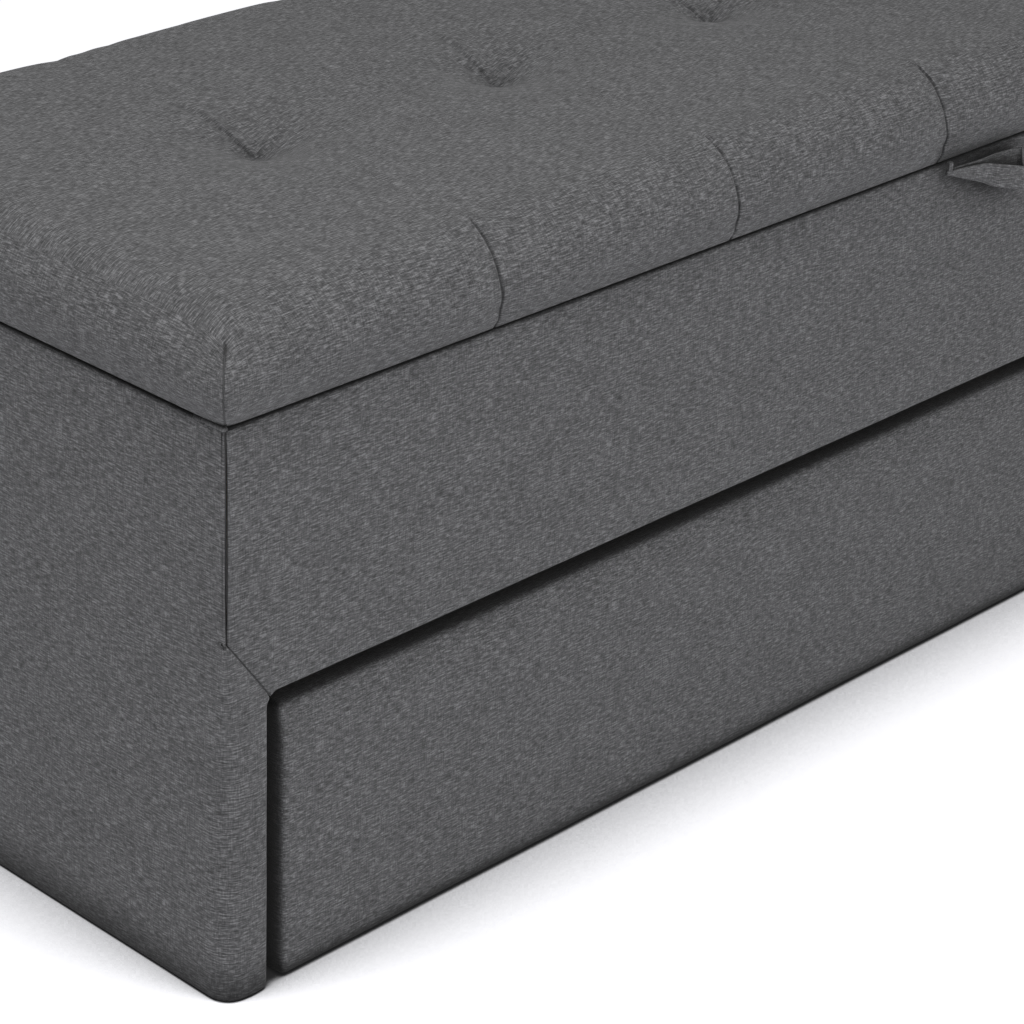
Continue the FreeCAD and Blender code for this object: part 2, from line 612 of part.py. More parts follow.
def castors():
    """Four fixed castors under the bearers."""
    for name, sign in SIDES:
        x = (f"({sign} * ({TRUNDLE_SIDE_OUT} - Sizes.bearer_inset"
             " - Sizes.bearer_width / 2))")
        for end, y in (("front", f"({TRUNDLE_BOARD_BACK} + Sizes.castor_inset)"),
                       ("back", f"({TRUNDLE_REAR_IN} - Sizes.castor_inset)")):
            castor_bracket(x, y, f"castor_bracket_{end}_{name}")
            castor_axle(x, y, f"castor_axle_{end}_{name}")
            castor_wheel(x, y, f"castor_wheel_{end}_{name}")


def check_model():
    """Stop if any object failed or any sub-part is not a valid solid."""
    for thing in doc.Objects:
        if "Invalid" in thing.State or "Error" in thing.State:
            raise RuntimeError(f"{thing.Label} did not compute: {thing.State}")
    for thing in sub_parts:
        if thing.Shape.isNull() or not thing.Shape.isValid() or not thing.Shape.Solids:
            raise RuntimeError(f"{thing.Label} is not a valid solid")


def main():
    """Build every sub-part, check the model and write the files."""
    side_boards()
    long_boards()
    storage_floor()
    side_covers()
    front_cover()
    back_cover()
    glides()
    guides_and_stops()
    hinges()
    lid()
    pull_tabs()
    trundle_front()
    trundle_box()
    slatted_base()
    mattress()
    castors()
    doc.recompute()
    check_model()
    os.makedirs("parts", exist_ok=True)
    for thing in sub_parts:
        thing.Shape.exportStep(f"parts/{thing.Label}.step")
    travel = value(f"{TRUNDLE_REAR_IN} - {STOP_BACK}")
    print(f"{len(sub_parts)} sub-parts; hinge axis y {value(HINGE_Y):.3f}"
          f" z {value(size('lid_line')):.3f}; trundle free travel {travel:.2f}")


main()
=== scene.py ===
"""Visual model of the upholstered bench bed, built round its CAD frame (metres, +Z up)."""
import math

import bmesh
import bpy
import numpy as np
from mathutils import Matrix, Vector, noise


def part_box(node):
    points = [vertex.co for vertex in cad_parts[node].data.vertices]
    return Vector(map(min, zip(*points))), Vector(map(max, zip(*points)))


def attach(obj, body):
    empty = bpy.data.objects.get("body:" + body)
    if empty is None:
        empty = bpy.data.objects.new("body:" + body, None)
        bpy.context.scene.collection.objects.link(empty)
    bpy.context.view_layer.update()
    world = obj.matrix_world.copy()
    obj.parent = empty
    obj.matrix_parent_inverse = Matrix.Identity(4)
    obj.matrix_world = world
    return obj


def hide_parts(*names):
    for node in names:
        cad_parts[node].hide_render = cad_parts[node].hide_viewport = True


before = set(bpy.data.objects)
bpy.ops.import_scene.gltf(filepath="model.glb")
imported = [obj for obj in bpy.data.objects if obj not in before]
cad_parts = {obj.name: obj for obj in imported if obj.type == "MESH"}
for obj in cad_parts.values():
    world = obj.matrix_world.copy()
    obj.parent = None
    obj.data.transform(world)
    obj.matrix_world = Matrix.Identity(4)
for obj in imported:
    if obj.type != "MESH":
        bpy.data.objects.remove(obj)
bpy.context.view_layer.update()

MM = 0.001

# ---- places read from the frame ----
LID_LOW, LID_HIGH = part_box("lid_pad")
LID_BOARD_LOW, LID_BOARD_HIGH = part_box("lid_board")
SIDE_LOW, SIDE_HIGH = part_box("side_cover_left")
TRUNDLE_LOW, TRUNDLE_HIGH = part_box("trundle_front_cover")
MATTRESS_LOW, MATTRESS_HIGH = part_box("mattress")

FACE_Y = SIDE_LOW.y                    # front face of the box
REAR_Y = SIDE_HIGH.y                   # back face of the box
END_X = -SIDE_LOW.x                    # end face of the box, either side of the middle
LEG_X = -SIDE_HIGH.x                   # inner edge of a leg
COVER_TOP = SIDE_HIGH.z                # upper edge of the box
HEM_Z = SIDE_LOW.z - 3 * MM            # lower edge of the box's covers
OPENING_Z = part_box("front_cover")[0].z # lower edge of the upper front
MITRE_Z = OPENING_Z + 52 * MM          # where the leg seam leaves the corner seam
MID_Y = (FACE_Y + REAR_Y) / 2
PANELS = 8
PITCH = 2 * END_X / PANELS
TUFT_X = [-END_X + PITCH * number for number in range(1, PANELS)]


# ---- mesh tools ----
class Net:
    """Collects grids of points with their flat fabric coordinates and makes one mesh of them."""

    def __init__(self):
        self.points, self.flat, self.faces = [], [], []

    def grid(self, points, flat, flip=False):
        """Add a grid: points is rows x columns x 3, flat is rows x columns x 2, in metres."""
        rows, columns = points.shape[:2]
        start = len(self.points)
        self.points.extend(map(tuple, points.reshape(-1, 3)))
        self.flat.extend(map(tuple, flat.reshape(-1, 2)))
        for row in range(rows - 1):
            for column in range(columns - 1):
                a = start + row * columns + column
                face = (a, a + 1, a + columns + 1, a + columns)
                self.faces.append(face[::-1] if flip else face)
        return self

    def build(self, name, material, merge=0.05 * MM):
        """The mesh object, with touching grid edges joined and faces turned outward."""
        mesh = bpy.data.meshes.new(name)
        mesh.from_pydata(self.points, [], self.faces)
        layer = mesh.uv_layers.new(name="flat")
        index = np.empty(len(mesh.loops), np.int32)
        mesh.loops.foreach_get("vertex_index", index)
        layer.data.foreach_set("uv", np.array(self.flat, np.float32)[index].ravel())
        work = bmesh.new()
        work.from_mesh(mesh)
        bmesh.ops.remove_doubles(work, verts=work.verts, dist=merge)
        bmesh.ops.dissolve_degenerate(work, edges=work.edges, dist=merge / 5)
        bmesh.ops.recalc_face_normals(work, faces=work.faces)
        work.to_mesh(mesh)
        work.free()
        mesh.polygons.foreach_set("use_smooth", [True] * len(mesh.polygons))
        mesh.materials.append(material)
        return add_object(name, mesh)


def add_object(name, data):
    """A scene object with this mesh, light or camera as its data."""
    thing = bpy.data.objects.new(name, data)
    bpy.context.scene.collection.objects.link(thing)
    return thing


def coordinates(thing):
    """A mesh object's points as an array."""
    points = np.empty(len(thing.data.vertices) * 3)
    thing.data.vertices.foreach_get("co", points)
    return points.reshape(-1, 3)


def move_to(thing, points):
    """Put a mesh object's points where an array says."""
    thing.data.vertices.foreach_set("co", np.asarray(points, float).ravel())
    thing.data.update()


def along_normals(thing, points, distance):
    """The points moved along the mesh's normals, each by its own distance."""
    normals = np.empty(len(points) * 3)
    thing.data.vertices.foreach_get("normal", normals)
    return points + normals.reshape(-1, 3) * distance[:, None]


def dress(thing, body, nodes=()):
    """Put a piece on its body and hide the CAD nodes it replaces, padding included."""
    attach(thing, body)
    if nodes:
        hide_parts(*nodes)


def apply_modifiers(thing):
    """Make a mesh object's modifiers part of its mesh."""
    graph = bpy.context.evaluated_depsgraph_get()
    mesh = bpy.data.meshes.new_from_object(thing.evaluated_get(graph))
    thing.modifiers.clear()
    thing.data = mesh


def subdivide(thing, levels=1):
    """Smooth a mesh by Catmull-Clark subdivision."""
    modifier = thing.modifiers.new("Smooth", "SUBSURF")
    modifier.levels = levels
    modifier.render_levels = levels
    apply_modifiers(thing)


def smooth_step(value):
    """0 below 0, 1 above 1, and an even curve between."""
    value = np.clip(value, 0, 1)
    return value * value * (3 - 2 * value)


def steps(low, high, size):
    """Evenly spaced values from low to high, about size apart."""
    return np.linspace(low, high, max(2, int(round((high - low) / size)) + 1))


def ripple(points, wave, seed):
    """Slow noise over points, from about -1 to 1."""
    shift = Vector((seed * 7.3, seed * 3.1, seed * 5.7))
    return np.array([noise.noise(Vector(p) / wave + shift) for p in points])


# ---- materials ----
class Shader:
    """A small helper that adds nodes to one material."""

    def __init__(self, name):
        self.material = bpy.data.materials.new(name)
        self.material.use_nodes = True
        self.tree = self.material.node_tree
        self.surface = self.tree.nodes["Principled BSDF"]

    def node(self, kind, inputs=None, **settings):
        """Add a node, set its properties, and link or set its inputs."""
        made = self.tree.nodes.new(kind)
        for key, setting in settings.items():
            setattr(made, key, setting)
        for key, source in (inputs or {}).items():
            socket = made.inputs[key]
            if isinstance(source, bpy.types.NodeSocket):
                self.tree.links.new(source, socket)
            else:
                socket.default_value = source
        return made

    def math(self, operation, first, second=0.0):
        """A Math node's result."""
        return self.node("ShaderNodeMath", {0: first, 1: second}, operation=operation).outputs[0]

    def noise(self, vector, scale, detail=2.0, roughness=0.5, dimensions="3D"):
        """A Noise Texture's value."""
        return self.node("ShaderNodeTexNoise", {"Vector": vector, "Scale": scale, "Detail": detail,
                                                "Roughness": roughness},
                         noise_dimensions=dimensions).outputs[0]

    def scaled(self, vector, scale, location=(0, 0, 0)):
        """A vector scaled axis by axis."""
        return self.node("ShaderNodeMapping", {"Vector": vector, "Scale": scale,
                                               "Location": location}).outputs[0]

    def ramp(self, factor, stops):
        """A colour ramp through (position, colour) stops."""
        made = self.node("ShaderNodeValToRGB", {"Fac": factor})
        made.color_ramp.elements[0].position, made.color_ramp.elements[0].color = stops[0]
        made.color_ramp.elements[1].position, made.color_ramp.elements[1].color = stops[-1]
        for position, colour in stops[1:-1]:
            made.color_ramp.elements.new(position).color = colour
        return made.outputs[0]

    def bump(self, height, distance, strength=1.0, normal=None):
        """A Bump node's normal."""
        inputs = {"Height": height, "Distance": distance, "Strength": strength}
        if normal is not None:
            inputs["Normal"] = normal
        return self.node("ShaderNodeBump", inputs).outputs[0]

    def connect(self, name, source):
        """Link a value to the surface shader."""
        self.tree.links.new(source, self.surface.inputs[name])

    def fixed(self, **values):
        """Set the surface shader's own sockets."""
        for name, number in values.items():
            self.surface.inputs[name.replace("_", " ")].default_value = number


def grey(level):
    """A neutral colour of one linear level, a touch cool."""
    return (level, level, level * 1.03, 1)


# The weave's layers of noise: scale along and across the fabric, offset, roughness and weight.
WEAVE = (((115, 860, 1), (0, 0, 0), 0.6, 0.95), ((260, 1500, 1), (9, 4, 0), 0.6, 0.66),
         ((900, 150, 1), (3, 8, 0), 0.6, 0.46), ((24, 42, 1), (0, 0, 0), 0.5, 0.12))
YARN_PITCH = 1.25 * MM


def woven_fabric(name, dark, light, deepest=0.27, deep=0.6, reach=40 * MM):
    """Melange linen-look weave: uneven yarns both ways, read from the flat fabric coordinates.

    Its base colour carries painted shade: ambient occlusion within reach darkens it in gaps and
    hollows, to black where openness falls to deepest, most of the way at deep.
    """
    s = Shader(name)
    flat = s.node("ShaderNodeUVMap", uv_map="flat").outputs[0]
    wander = s.node("ShaderNodeVectorMath",
                    {0: s.node("ShaderNodeTexNoise", {"Vector": flat, "Scale": 34.0}).outputs[1],
                     "Scale": 0.9 * MM}, operation="SCALE").outputs[0]
    thread = s.node("ShaderNodeVectorMath", {0: flat, 1: wander}, operation="ADD").outputs[0]
    tone = 0.5
    for scale, place, roughness, weight in WEAVE:
        layer = s.noise(s.scaled(thread, scale, place), 1.0, 2.0, roughness, "2D")
        tone = s.math("ADD", s.math("MULTIPLY", s.math("SUBTRACT", layer, 0.5), weight), tone)
    middle = (dark * light) ** 0.5
    colour = s.ramp(tone, [(0.18, grey(dark)), (0.5, grey(middle)), (0.82, grey(light))])
    # painted shade: ambient occlusion darkens the fabric's base colour in gaps, seams and hollows
    openness_for_painted_shade = s.node("ShaderNodeAmbientOcclusion", {"Distance": reach}, samples=6).outputs["AO"]
    painted_shade = s.ramp(openness_for_painted_shade, [(deepest, (0, 0, 0, 1)), (deep, (0.3, 0.3, 0.3, 1)),
                            (0.95, (1, 1, 1, 1))])
    s.connect("Base Color", s.node("ShaderNodeMix", {"Factor": 1.0, 6: colour, 7: painted_shade},
                                   data_type="RGBA", blend_type="MULTIPLY").outputs[2])
    yarn = 2 * math.pi / YARN_PITCH
    parts = s.node("ShaderNodeSeparateXYZ", {0: thread}).outputs
    over = s.math("MULTIPLY", s.math("SINE", s.math("MULTIPLY", parts[0], yarn)),
                  s.math("SINE", s.math("MULTIPLY", parts[1], yarn)))
    height = s.math("ADD", s.math("MULTIPLY", over, 0.2), tone)
    s.connect("Normal", s.bump(height, 0.3 * MM, 0.8))
    s.fixed(Roughness=0.92, Specular_IOR_Level=0.1, Sheen_Weight=0.1, Sheen_Roughness=0.55)
    return s.material


def dust_cloth(name):
    """Thin black non-woven cloth with a fine fibre pattern."""
    s = Shader(name)
    place = s.node("ShaderNodeTexCoord").outputs["Object"]
    fibre = s.noise(place, 900.0, 4.0, 0.7)
    dimple = s.node("ShaderNodeTexVoronoi", {"Vector": place, "Scale": 420.0}).outputs[0]
    s.connect("Base Color", s.ramp(fibre, [(0.2, grey(0.012)), (0.8, grey(0.04))]))
    s.connect("Normal", s.bump(dimple, 0.3 * MM, 0.6))
    s.fixed(Roughness=0.85, Specular_IOR_Level=0.2)
    return s.material


def ticking(name):
    """Off-white mattress ticking with a fine herringbone rib."""
    s = Shader(name)
    flat = s.node("ShaderNodeUVMap", uv_map="flat").outputs[0]
    parts = s.node("ShaderNodeSeparateXYZ", {0: flat}).outputs
    rib = s.math("SINE", s.math("MULTIPLY", s.math("ADD", parts[0], s.math(
        "PINGPONG", parts[1], 12 * MM)), 2 * math.pi / (3 * MM)))
    mottle = s.noise(s.scaled(flat, (300, 300, 1)), 1.0, 3.0, 0.6, "2D")
    tone = s.math("ADD", s.math("MULTIPLY", rib, 0.12), mottle)
    s.connect("Base Color", s.ramp(tone, [(0.25, (0.52, 0.50, 0.46, 1)),
                                          (0.75, (0.74, 0.72, 0.67, 1))]))
    s.connect("Normal", s.bump(tone, 0.3 * MM, 0.6))
    s.fixed(Roughness=0.88, Specular_IOR_Level=0.2, Sheen_Weight=0.15)
    return s.material


def wood(name, pale, deep, ring, plies=False):
    """Timber with its grain along X, or plywood whose cut edges show their plies."""
    s = Shader(name)
    coordinate = s.node("ShaderNodeTexCoord").outputs
    place = coordinate["Object"]
    long_grain = s.scaled(place, (1.6, 22, 22))
    rings = s.noise(long_grain, ring, 5.0, 0.62)
    fibre = s.noise(s.scaled(place, (18, 900, 900)), 1.0, 3.0, 0.7)
    tone = s.math("ADD", s.math("MULTIPLY", rings, 0.8), s.math("MULTIPLY", fibre, 0.25))
    colour = s.ramp(tone, [(0.35, deep), (0.52, tuple(0.5 * (a + b) for a, b in zip(deep, pale))),
                           (0.72, pale)])
    if plies:
        parts = s.node("ShaderNodeSeparateXYZ", {0: place}).outputs
        layer = s.math("SINE", s.math("MULTIPLY", parts[2], 2 * math.pi / (3 * MM)))
        facing = s.node("ShaderNodeSeparateXYZ", {0: coordinate["Normal"]}).outputs
        end = s.math("GREATER_THAN", s.math("ABSOLUTE", facing[0]), 0.7)
        darker = s.math("MULTIPLY", s.math("GREATER_THAN", layer, 0.0), end)
        colour = s.node("ShaderNodeMix", {"Factor": s.math("MULTIPLY", darker, 0.45), 6: colour,
                                          7: (0.30, 0.19, 0.10, 1)}, data_type="RGBA").outputs[2]
    s.connect("Base Color", colour)
    s.connect("Roughness", s.node("ShaderNodeMapRange", {0: fibre, 3: 0.55, 4: 0.75}).outputs[0])
    s.connect("Normal", s.bump(tone, 0.4 * MM, 0.5))
    s.fixed(Specular_IOR_Level=0.3)
    return s.material


def steel(name):
    """Zinc-plated sheet with a fine brushed grain and faint clouding."""
    s = Shader(name)
    place = s.node("ShaderNodeTexCoord").outputs["Object"]
    brush = s.noise(s.scaled(place, (60, 2500, 2500)), 1.0, 2.0, 0.6)
    cloud = s.noise(place, 55.0, 3.0, 0.6)
    s.connect("Base Color", s.ramp(cloud, [(0.3, (0.50, 0.50, 0.51, 1)),
                                           (0.7, (0.66, 0.66, 0.66, 1))]))
    s.connect("Roughness", s.node("ShaderNodeMapRange", {0: brush, 3: 0.24, 4: 0.46}).outputs[0])
    s.connect("Normal", s.bump(brush, 0.05 * MM, 0.5))
    s.fixed(Metallic=1.0)
    return s.material


def plastic(name):
    """Black moulded plastic with a fine spark-eroded grain."""
    s = Shader(name)
    place = s.node("ShaderNodeTexCoord").outputs["Object"]
    grain = s.noise(place, 1800.0, 2.0, 0.6)
    s.connect("Base Color", s.ramp(s.noise(place, 90.0), [(0.3, grey(0.016)), (0.7, grey(0.03))]))
    s.connect("Roughness", s.node("ShaderNodeMapRange", {0: grain, 3: 0.42, 4: 0.6}).outputs[0])
    s.connect("Normal", s.bump(grain, 0.08 * MM, 0.6))
    return s.material


def sewing_thread(name):
    """Dark thread, twisted along its length."""
    s = Shader(name)
    place = s.node("ShaderNodeTexCoord").outputs["Object"]
    twist = s.noise(place, 2600.0, 2.0, 0.6)
    s.connect("Base Color", s.ramp(twist, [(0.2, grey(0.018)), (0.8, grey(0.06))]))
    s.connect("Normal", s.bump(twist, 0.1 * MM, 0.7))
    s.fixed(Roughness=0.8)
    return s.material


def studio_floor(name):
    """Plain white studio floor with painted shadow: darker where something stands on it or hangs
    close over it.
    """
    s = Shader(name)
    # painted shadow: ambient occlusion darkens the floor's colour and glow near and under the bench
    openness_for_painted_shade = s.node("ShaderNodeAmbientOcclusion", {"Distance": 0.4}, samples=16).outputs["AO"]
    for socket, painted_shadow_tones in (("Base Color", (0.02, 0.22, 0.42)), ("Emission Color", (0.01, 0.45, 1))):
        stops = [(openness, grey(tone)) for openness, tone in zip((0.36, 0.5, 0.62), painted_shadow_tones)]
        s.connect(socket, s.ramp(openness_for_painted_shade, stops))
    s.fixed(Roughness=0.9, Specular_IOR_Level=0.1, Emission_Strength=0.76)
    return s.material


DARK_YARN, LIGHT_YARN = 0.030, 0.180
FABRIC = woven_fabric("charcoal_weave", DARK_YARN, LIGHT_YARN)
# a copy of the weave with stronger, closer painted shade, to darken the gap above the trundle front
TRUNDLE_FABRIC_MORE_PAINTED_SHADE = woven_fabric("charcoal_weave_trundle", DARK_YARN, LIGHT_YARN, 0.54, 0.7, 20 * MM)
LINING = dust_cloth("black_dust_cloth")
TICKING = ticking("mattress_ticking")
PINE = wood("pine", (0.66, 0.45, 0.24, 1), (0.44, 0.26, 0.12, 1), 2.6)
PLYWOOD = wood("birch_plywood", (0.62, 0.44, 0.26, 1), (0.47, 0.31, 0.17, 1), 1.8, plies=True)
STEEL = steel("zinc_plated_steel")
PLASTIC = plastic("black_plastic")
THREAD = sewing_thread("dark_thread")
PIPING = ticking("mattress_piping")


# ---- the lid's cushion ----
ROUND = 40 * MM            # radius over which the cushion turns from its top to its sides
TURN = math.radians(38)    # part of that turn that the corner's seams leave to the top
LID_OUT_X = LID_HIGH.x
LID_OUT_Y = (LID_HIGH.y - LID_LOW.y) / 2
LID_MID_Y = (LID_HIGH.y + LID_LOW.y) / 2
BULGE = LID_OUT_X - END_X
WIDEST_Z = LID_LOW.z + 31 * MM
TUFT_DEPTH = 18 * MM
TUFT_Y = LID_MID_Y - 5 * MM
TUFT_SHIFT = -3 * MM       # from a seam to its tuft, along X
FLAT_X = LID_OUT_X - ROUND
FLAT_Y = LID_OUT_Y - ROUND
NET_X = FLAT_X + ROUND * TURN
NET_Y = FLAT_Y + ROUND * TURN
HEM_ROUND = 2.5 * MM
SIDE_FALL = 33 * MM        # fabric from the end of the side's curve down to the hem's roll
SIDE_RUN = ROUND * (math.pi / 2 - TURN) + SIDE_FALL + HEM_ROUND * math.pi / 2
ROUND_END_Z = WIDEST_Z - 1.5 * MM
TOP_Z = ROUND_END_Z + ROUND
CORNER_REACH = 70 * MM     # from a corner seam to where the side panels begin to ease toward it
CREASES = ((96, 105, 0.8), (26, 95, 0.75), (143, 60, 0.5), (62, 52, 0.45), (-8, 60, 0.3),
           (186, 70, 0.35), (118, 70, 0.4))     # round each tuft: degrees, reach in mm, strength


def over_edge(distance, flat):
    """Across and down for a point that lies this far from the middle along the fabric."""
    angle = np.clip((np.abs(distance) - flat) / ROUND, 0, None)
    across = np.where(np.abs(distance) < flat, np.abs(distance), flat + ROUND * np.sin(angle))
    return np.sign(distance) * across, ROUND * (1 - np.cos(angle))


def side_profile(run):
    """Distance outward from the flat's edge, and height, down the cushion's side."""
    angle = TURN + run / ROUND
    on_round = angle < math.pi / 2
    past = run - ROUND * (math.pi / 2 - TURN)
    below = np.clip(past / SIDE_FALL, 0, 1)
    tuck = np.clip((past - SIDE_FALL) / HEM_ROUND, 0, math.pi / 2)
    straight = ROUND_END_Z - LID_LOW.z - HEM_ROUND
    out = np.where(on_round, ROUND * np.sin(np.minimum(angle, math.pi / 2)),
                   ROUND - BULGE * (0.12 * below + 0.88 * below ** 2.4)
                   - HEM_ROUND * (1 - np.cos(tuck)))
    height = np.where(on_round, TOP_Z - ROUND * (1 - np.cos(np.minimum(angle, math.pi / 2))),
                      ROUND_END_Z - straight * below - HEM_ROUND * np.sin(tuck))
    return out, height


def corner_ease(distance, net):
    """How far a side panel's point is drawn toward the corner seam."""
    return smooth_step((np.abs(distance) - net + CORNER_REACH) / CORNER_REACH) ** 1.5


def lid_top(columns, rows):
    """The cushion's top panel."""
    x, drop_x = over_edge(columns, FLAT_X)
    y, drop_y = over_edge(rows, FLAT_Y)
    points = np.empty((len(rows), len(columns), 3))
    points[..., 0] = x[None]
    points[..., 1] = y[:, None] + LID_MID_Y
    points[..., 2] = TOP_Z - drop_x[None] - drop_y[:, None]
    return points


def lid_side(along, net_along, flat_along, flat_across, runs):
    """A side panel as (along, out, up): it meets the top at its first row."""
    place, drop = over_edge(along, flat_along)
    out, height = side_profile(runs)
    shift = out[:, None] - ROUND * math.sin(TURN)
    fade = 1 - smooth_step(runs / (30 * MM))
    points = np.empty((len(runs), len(along), 3))
    points[..., 0] = place + np.sign(along) * corner_ease(along, net_along) * shift
    points[..., 1] = flat_across + out[:, None]
    points[..., 2] = height[:, None] - drop * fade[:, None]
    return points


def dense_near(values, places, offsets):
    """The values with their neighbours of each place swapped for the place plus the offsets."""
    offsets = np.asarray(offsets) * MM
    for spot in places:
        values = values[np.abs(values - spot) > np.abs(offsets).max() + 1.5 * MM]
        values = np.concatenate([values, np.clip(spot + offsets, -10, 10)])
    return np.sort(values)


SEAM_LINES = (-8, -5, -3, -1.7, -0.6, 0, 0.6, 1.7, 3, 5, 8)
CORNER_LINES = (0, 0.6, 1.4, 2.6, 4.2, 7)


def lid_net():
    """The whole cushion: top, four sides and the underside's turned-in hem."""
    net = Net()
    fine = 6 * MM
    columns = dense_near(steps(-NET_X, NET_X, fine), TUFT_X, SEAM_LINES)
    columns = dense_near(columns, [-NET_X], CORNER_LINES)
    columns = dense_near(columns, [NET_X], [-line for line in CORNER_LINES])
    rows = dense_near(steps(-NET_Y, NET_Y, fine), [-NET_Y], CORNER_LINES)
    rows = dense_near(rows, [NET_Y], [-line for line in CORNER_LINES])
    fall = SIDE_RUN - HEM_ROUND * math.pi / 2
    tuck = HEM_ROUND * np.array([0.5, 1.0, math.pi / 2])
    runs = np.concatenate([steps(0, fall, 5.5 * MM), fall + tuck])
    net.grid(lid_top(columns, rows), np.stack(np.meshgrid(columns, rows), -1))
    hem = np.array([0.0, 6.0, 26.0, 60.0]) * MM
    middle = (0.0, LID_MID_Y)
    sides = ((0, columns, NET_X, FLAT_X, NET_Y, FLAT_Y, 0.0),
             (1, rows, NET_Y, FLAT_Y, NET_X, FLAT_X, 3.0))
    for sign in (-1, 1):
        for axis, along, net_along, flat_along, net_across, flat_across, place in sides:
            points = lid_side(along, net_along, flat_along, flat_across, runs)
            forward, outside = points[..., 0] + middle[axis], sign * points[..., 1]
            points[..., axis], points[..., 1 - axis] = forward, outside + middle[1 - axis]
            flat = np.stack(np.meshgrid(along + place, sign * (net_across + runs)), -1)
            flat[..., 0] += points[..., axis] - middle[axis] - over_edge(along, flat_along)[0]
            net.grid(points, flat)
            under = np.repeat(points[-1:], len(hem), 0)
            under[..., 1 - axis] -= sign * hem[:, None]
            inward = np.sign(under[..., axis] - middle[axis]) * corner_ease(along, net_along)
            under[..., axis] -= inward * hem[:, None]
            flat = np.stack(np.meshgrid(along + place, sign * (net_across + SIDE_RUN + hem)), -1)
            net.grid(under, flat)
    return net.build("lid_cushion", FABRIC, merge=0.2 * MM)


def tuft_pull(points):
    """How far each point of the top is drawn down by the tufts and the lines between them."""
    valley = np.exp(-((points[:, 1] - TUFT_Y) / (34 * MM)) ** 2)
    pull = 2.2 * MM * valley * smooth_step((LID_OUT_X - np.abs(points[:, 0]) - 60 * MM) / (90 * MM))
    for x in TUFT_X:
        away = np.hypot(points[:, 0] - x - TUFT_SHIFT, (points[:, 1] - TUFT_Y) * 0.9)
        pull += (TUFT_DEPTH - 5 * MM) / (1 + (away / (31 * MM)) ** 2) ** 1.6
        pull += 3 * MM * np.exp(-(away / (8 * MM)) ** 2)
    return pull


def seam_pull(points, flat_z):
    """How far the short seams draw the cushion's front and back edges in."""
    from_edge = LID_OUT_Y - np.abs(points[:, 1] - LID_MID_Y)
    reach = 1 - smooth_step((from_edge - 20 * MM) / (55 * MM))
    side = smooth_step((flat_z - LID_LOW.z - 2 * MM) / (14 * MM))
    pull = np.zeros(len(points))
    for x in TUFT_X:
        pull += 3.2 * MM * np.exp(-((points[:, 0] - x) / (22 * MM)) ** 2) * reach * side
    return pull


def corner_seams(points):
    """Inward shift that rounds the cushion's upright corners and sinks the seam between them."""
    shift = np.zeros_like(points)
    below = 1 - smooth_step((points[:, 2] - (TOP_Z - 22 * MM)) / (12 * MM))
    for side_x in (-1, 1):
        for side_y in (-1, 1):
            from_end = LID_OUT_X - side_x * points[:, 0]
            from_face = LID_OUT_Y - side_y * (points[:, 1] - LID_MID_Y)
            lean = np.minimum(from_end, from_face)
            q = np.abs(from_end - from_face)
            near = (np.maximum(from_end, from_face) < 60 * MM) & (lean < 22 * MM)
            depth = (2.2 * MM * np.exp(-q / (6 * MM)) + 1.7 * MM * np.exp(-(q / (0.9 * MM)) ** 2)) \
                * near * below
            shift[:, 0] -= side_x * depth * 0.707
            shift[:, 1] -= side_y * depth * 0.707
    return shift


def relax(thing, hold, pressure, grow, cap, frames=18):
    """Let the cover settle as cloth over its filling, moving no point by more than the cap."""
    before = coordinates(thing)
    group = thing.vertex_groups.new(name="hold")
    for index, weight in enumerate(hold):
        if weight > 0.001:
            group.add([index], float(min(1, weight)), "REPLACE")
    modifier = thing.modifiers.new("Cloth", "CLOTH")
    cloth = modifier.settings
    cloth.quality = 5
    cloth.mass = 0.25
    cloth.tension_stiffness = 20
    cloth.compression_stiffness = 20
    cloth.shear_stiffness = 6
    cloth.bending_stiffness = 0.6
    cloth.air_damping = 4
    cloth.use_pressure = True
    cloth.uniform_pressure_force = pressure
    cloth.shrink_min = -grow
    cloth.shrink_max = -grow
    cloth.vertex_group_mass = "hold"
    cloth.effector_weights.gravity = 0
    modifier.collision_settings.use_collision = False
    modifier.point_cache.frame_start = 1
    modifier.point_cache.frame_end = frames
    for number in range(1, frames + 1):
        bpy.context.scene.frame_set(number)
    graph = bpy.context.evaluated_depsgraph_get()
    after = np.array([v.co for v in thing.evaluated_get(graph).data.vertices])
    thing.modifiers.clear()
    thing.vertex_groups.clear()
    bpy.context.scene.frame_set(1)
    shift = after - before
    length = np.linalg.norm(shift, axis=1, keepdims=True)
    move_to(thing, before + shift * cap / (cap + length))


def crease(points, x, y, angle, reach, width, depth):
    """A crease that runs out from a tuft: a sharp valley with a soft ridge on each side."""
    dx, dy = points[:, 0] - x, points[:, 1] - y
    along = dx * math.cos(angle) + dy * math.sin(angle)
    bend = 0.12 * along * np.sin(along / reach * 3.0)
    across = -dx * math.sin(angle) + dy * math.cos(angle) + bend
    spread = width * (0.5 + 1.2 * np.clip(along / reach, 0, 1))
    inside = smooth_step(along / (6 * MM))
    inside = inside * (1 - smooth_step((along - 0.35 * reach) / (0.65 * reach)))
    t = across / spread
    return depth * inside * (-np.exp(-t * t) + 0.55 * np.exp(-((np.abs(t) - 1.9) ** 2)))


